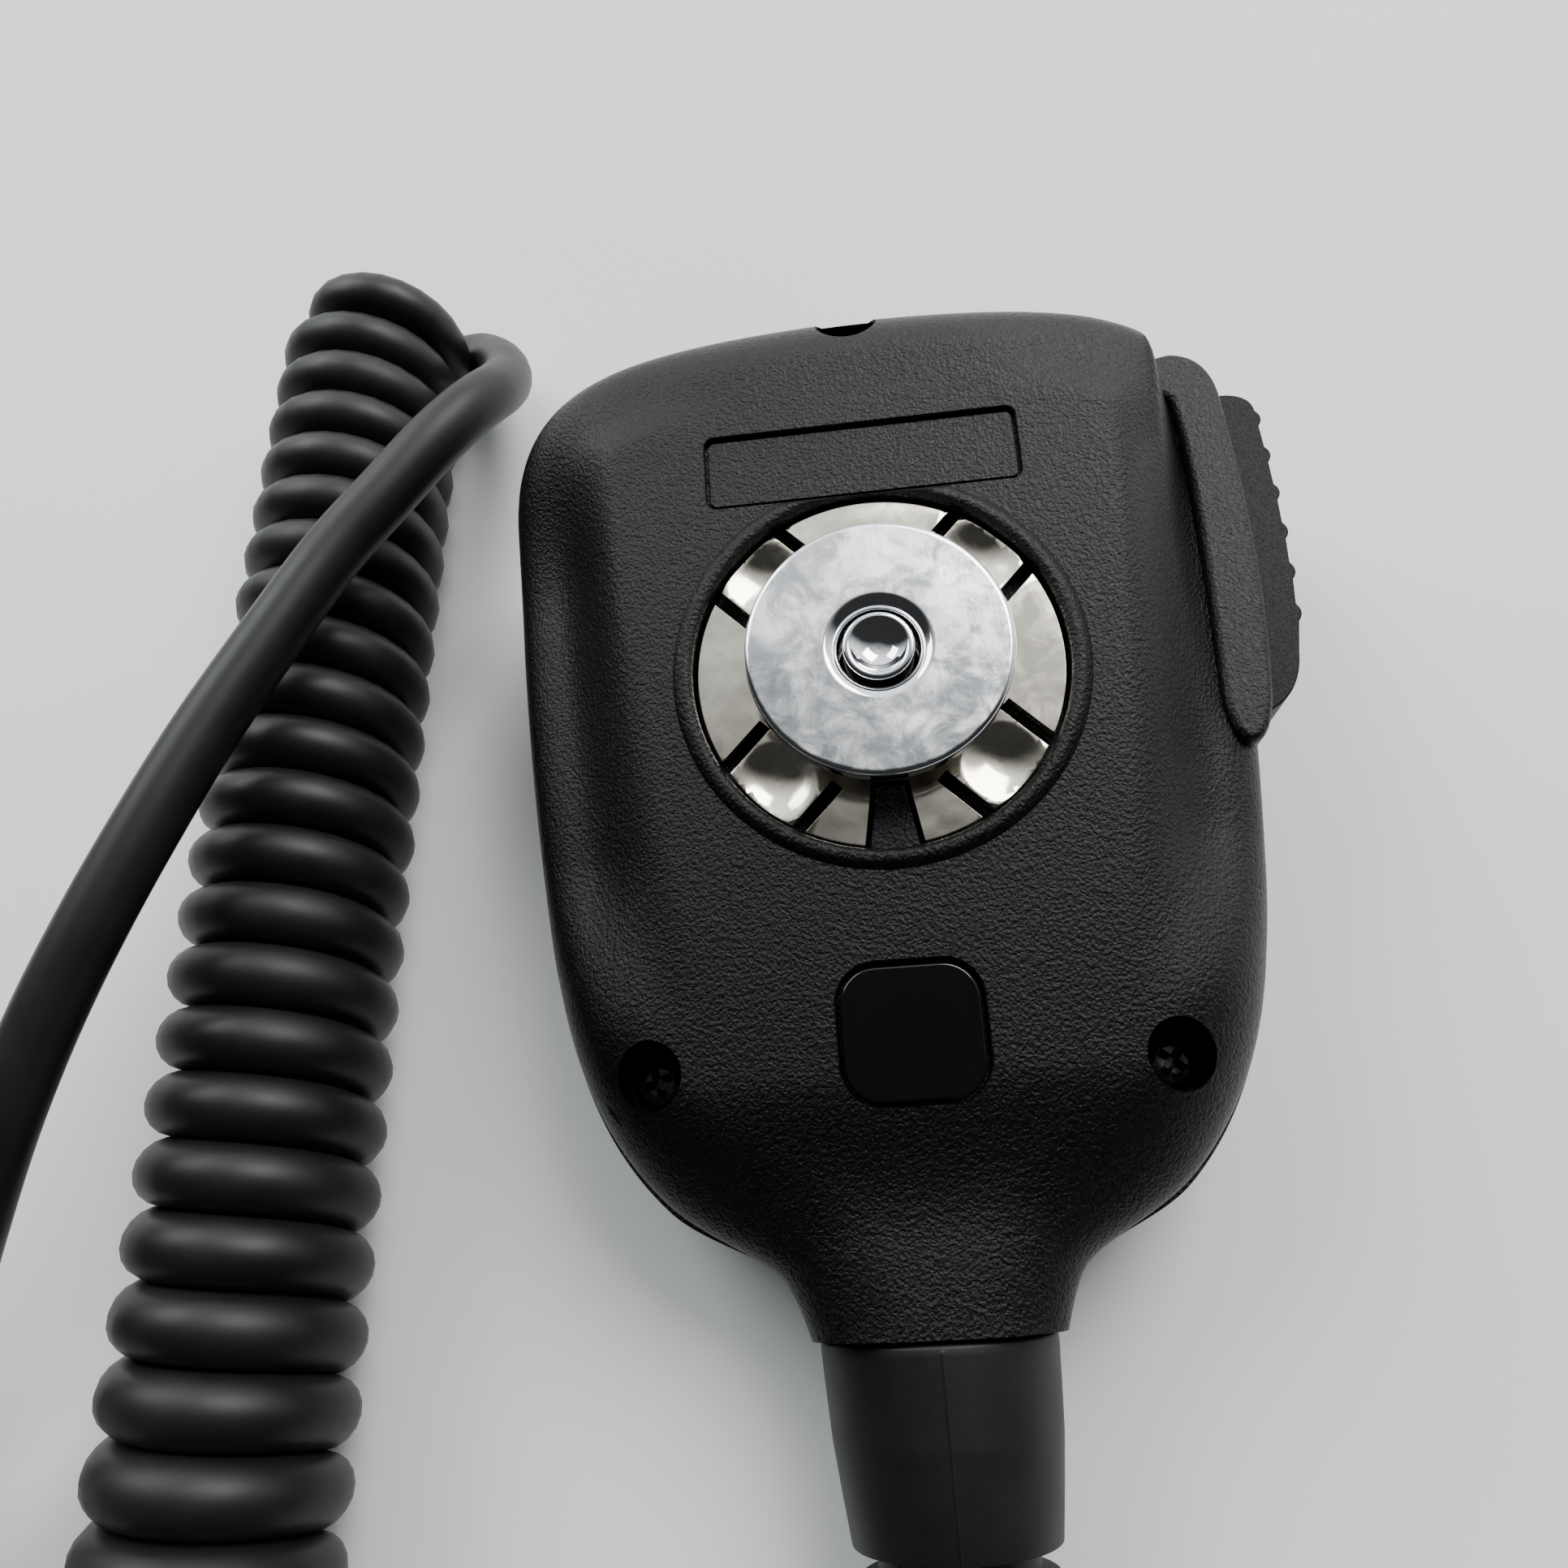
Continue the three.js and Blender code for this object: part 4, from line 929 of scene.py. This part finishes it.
def stud():
    """Shouldered stud with a dimpled head, in the middle of the button."""
    top = BUTTON_TOP - 0.1
    shank = [(0, -9.2), (1.9, -9.2), (1.9, -4.2), (2.7, -4.0), (2.7, top - 0.5)]
    head = rounded([(2.7, top - 0.5), (2.66, top - 0.05), (2.2, top), (1.9, top - 0.3),
                    (1.3, top - 0.75), (0.7, top - 0.95), (0, top - 1.0)], 0.3, 5)
    piece = turned("stud", shank + head, 96)
    piece.data.materials.append(bright_rim)
    return tilted(piece)


finish_piece(stud(), "nickel", "housing", "button_stud", smooth_angle=40)


def spacer():
    """Ring between the spring plate and the button."""
    low, high = -PLATE_DROP + GAP, BUTTON_BASE - GAP
    section = [(3.3, low), (5.2, low), (5.2, high), (3.3, high), (3.3, low)]
    return tilted(turned("spacer", rounded(section, 0.15, 2), 96))


finish_piece(spacer(), "zinc", "housing", "button_spacer")


# ---------------------------------------------------------------- push-to-talk lever
def talk_lever():
    """Hollow lever with ribs across its outer face, which falls back towards its free end."""
    def reach(y):
        return 35.8 - 0.0033 * (22 - min(y, 22)) ** 2

    segments = [[(30.8, -3.4)], [(33.5, -2.2), (34.1, 1.6)]]
    for rib in range(6):
        y = 5.2 + 4.0 * rib
        segments += [[(reach(y) - 0.15, y - 0.8)], [(reach(y) + 0.55, y), (reach(y + 0.8) - 0.15, y + 0.8)]]
    segments += [[(35.6, 27.8), (33.4, 28.1)], [(28.2, 28.1)], [(26.9, 27.8), (26.9, 26)], [(28.0, 18)]]
    outline = outline_path((27.6, -2.7), *segments)
    lever = prism("talk_lever", outline, *LEVER_Z, round_by=0.8, segments=5)
    height = LEVER_Z[1] - LEVER_Z[0] - 4
    cut(lever, box("hollow", (3.2, 13, height), (30.6, 12.5, 11.5)),
        box("mouth", (5, 12, height), (27.4, 12.5, 11.5)),
        post("pin_bore", PIN_RADIUS + GAP, 0, 30, PIVOT, 48))
    return lever


finish_piece(talk_lever(), "lever_black", "lever", "ptt_lever")


# ---------------------------------------------------------------- strain relief
def relief():
    """Tapered boot: a smooth sleeve with a flash line, then staggered slots down to the cord."""
    base = [(0, -38.2), (6.6, -38.2), (6.6, -43.1), (4.9, -43.1), (4.9, NECK_END_Y - GAP)]
    sleeve = rounded([(4.9, NECK_END_Y - GAP), (8.5, NECK_END_Y - GAP), (8.55, -47.8), (8.35, -50.5),
                      (8.1, -53.5), (7.66, -56.6), (7.2, -59.6), (5.0, -72.0), (3.9, -79.0),
                      (3.6, RELIEF_END_Y)], 0.35)
    profile = base + sleeve + [(0, RELIEF_END_Y)]
    steps = np.sort(np.r_[np.linspace(0, 2 * math.pi, 120, endpoint=False),
                          math.pi / 2 + np.linspace(-0.035, 0.035, 9)[1:-1]])
    rings = []
    for r, y in profile:
        ridge = 0.10 * np.exp(-(((steps - math.pi / 2) / 0.012) ** 2)) * (r > 6.7) * (y < -47.6)
        reach = max(r, 1e-3) + ridge
        rings.append(np.c_[reach * np.cos(steps), np.full(len(steps), y), RELIEF_Z + reach * np.sin(steps)])
    boot = loft("cord_relief", rings)
    slot_pitch, slot_height, slot_depth, half_span = 4.0, 2.0, 1.7, 1.22
    for level in range(5):
        down = level * slot_pitch
        y0 = -59.8 - down
        outer = 7.2 - 3.3 * down / 19.4
        for half in (0, 1):
            middle = (level % 2) * math.pi / 2 + half * math.pi + 0.2
            angle = np.linspace(middle - half_span, middle + half_span, 28)
            inner_arc = [(outer - slot_depth, a) for a in angle]
            outer_arc = [(outer + 3, a) for a in angle[::-1]]
            rings = [[(r * math.cos(a), y, RELIEF_Z + r * math.sin(a)) for r, a in inner_arc + outer_arc]
                     for y in (y0, y0 - slot_height)]
            cut(boot, loft("slot", rings))
    return boot


finish_piece(relief(), "dark_rubber", "housing", "strain_relief")


# ---------------------------------------------------------------- modular plug
def plug_place(obj):
    return transform(obj, Matrix.Translation(PLUG))


def plug_sleeve():
    """Rubber boot between the cord and the plug."""
    profile = rounded([(0, 0), (3.3, 0), (3.5, 0.4), (4.0, 4.5), (4.05, 6.0), (3.7, 6.15), (3.7, 6.9),
                       (4.1, 7.05), (4.1, 9.0), (0, 9.0)], 0.25)
    sleeve = turned("plug_sleeve", profile, 64)
    return transform(sleeve, Matrix.Translation(PLUG) @ Matrix.Rotation(math.pi / 2, 4, "X"))


finish_piece(plug_sleeve(), "dark_rubber", "housing", "plug_boot")


def plug_shell():
    """Clear body with contact grooves, a clamp window and a step along each side."""
    width, low, high, rear, nose = 11.7, -4.1, 2.5, PLUG_REAR_Y, PLUG_REAR_Y - PLUG_LENGTH
    outline = [(-width / 2, nose), (width / 2, nose), (width / 2, rear), (-width / 2, rear)]
    body = prism("plug_shell", outline, low, high, round_by=0.35, segments=3)
    for i in range(8):
        cut(body, box("groove", (0.8, 7, 2.6), ((i - 3.5) * CONTACT_PITCH, nose, -3.4)))
    side_steps = [box("side_step", (1.2, 9.0, 9), (side * (width / 2 + 0.3), rear - 1.2, -0.8))
                  for side in (1, -1)]
    cut(body, box("clamp_window", (5.4, 3.2, 1.2), (0, rear - 12.5, low)), *side_steps)
    return plug_place(bevel(body, 0.12, 2, 50))


finish_piece(plug_shell(), "clear_plastic", "housing", "plug_body")


def plug_tongue():
    """Latch of the plug, curved where it joins the nose; its side view is carried across the width."""
    side_view = np.vstack([
        [(0, 0), (0.9, 0)], bezier([(0.9, 0), (1.5, -3), (1.9, -6)], 8)[1:],
        [(1.9, -15.5), (1.1, -15.5), (1.1, -6)], bezier([(1.1, -6), (0.7, -3), (0, -1.2)], 8)[1:]])
    root = PLUG_REAR_Y - PLUG_LENGTH + 1.0
    tongue = loft("plug_tongue", [[(x, root - y, 2.8 + z) for z, y in side_view] for x in (-2.9, 2.9)])
    return plug_place(bevel(tongue, 0.15, 2, 50))


finish_piece(plug_tongue(), "clear_plastic", "latch", "plug_latch")


# ---------------------------------------------------------------- floor and light
def studio():
    """A pale floor, a room that is bright beyond the top end, and two soft lights."""
    bpy.ops.mesh.primitive_plane_add(size=6, location=(0, 0, -0.0001))
    floor = bpy.context.object
    floor.name = "floor"
    material, nodes, links, shader = principled("floor_white")
    at = object_coordinates(nodes)
    cloud = texture(nodes, links, "ShaderNodeTexNoise", 14.0, at, detail=5.0)
    tone = colours(nodes, links, cloud.outputs["Fac"],
                   (0.3, (0.80, 0.815, 0.805)), (0.7, (0.825, 0.84, 0.83)))
    links.new(tone, shader.inputs["Base Color"])
    shader.inputs["Roughness"].default_value = 0.45
    shader.inputs["Specular IOR Level"].default_value = 0.3
    floor.data.materials.append(material)

    world = bpy.data.worlds.new("studio")
    bpy.context.scene.world = world
    world.use_nodes = True
    nodes, links = world.node_tree.nodes, world.node_tree.links
    direction = nodes.new("ShaderNodeTexCoord").outputs["Generated"]
    towards = nodes.new("ShaderNodeVectorMath")
    towards.operation = "DOT_PRODUCT"
    links.new(direction, towards.inputs[0])
    towards.inputs[1].default_value = (0.22, 0.96, 0.0)
    strength = spread(nodes, links, towards.outputs["Value"], 0.035, 1.8, -0.06, 0.72)
    strength.node.interpolation_type = "SMOOTHSTEP"
    links.new(strength, nodes["Background"].inputs["Strength"])
    nodes["Background"].inputs["Color"].default_value = (0.94, 0.97, 1.0, 1)

    for name, at, aim, size, energy, colour in (
        ("key", (0.30, 0.40, 0.62), (0.0, 0.0, 0.02), 0.42, 6.0, (1.0, 0.99, 0.97)),
        ("fill", (-0.52, 0.52, 0.6), (-0.02, 0.0, 0.0), 0.5, 5.0, (0.95, 0.98, 1.0)),
    ):
        light = link(name, bpy.data.lights.new(name, "AREA"))
        light.data.size = size
        light.data.energy = energy
        light.data.color = colour
        light.location = at
        light.rotation_euler = (Vector(aim) - Vector(at)).to_track_quat("-Z", "Y").to_euler()


studio()
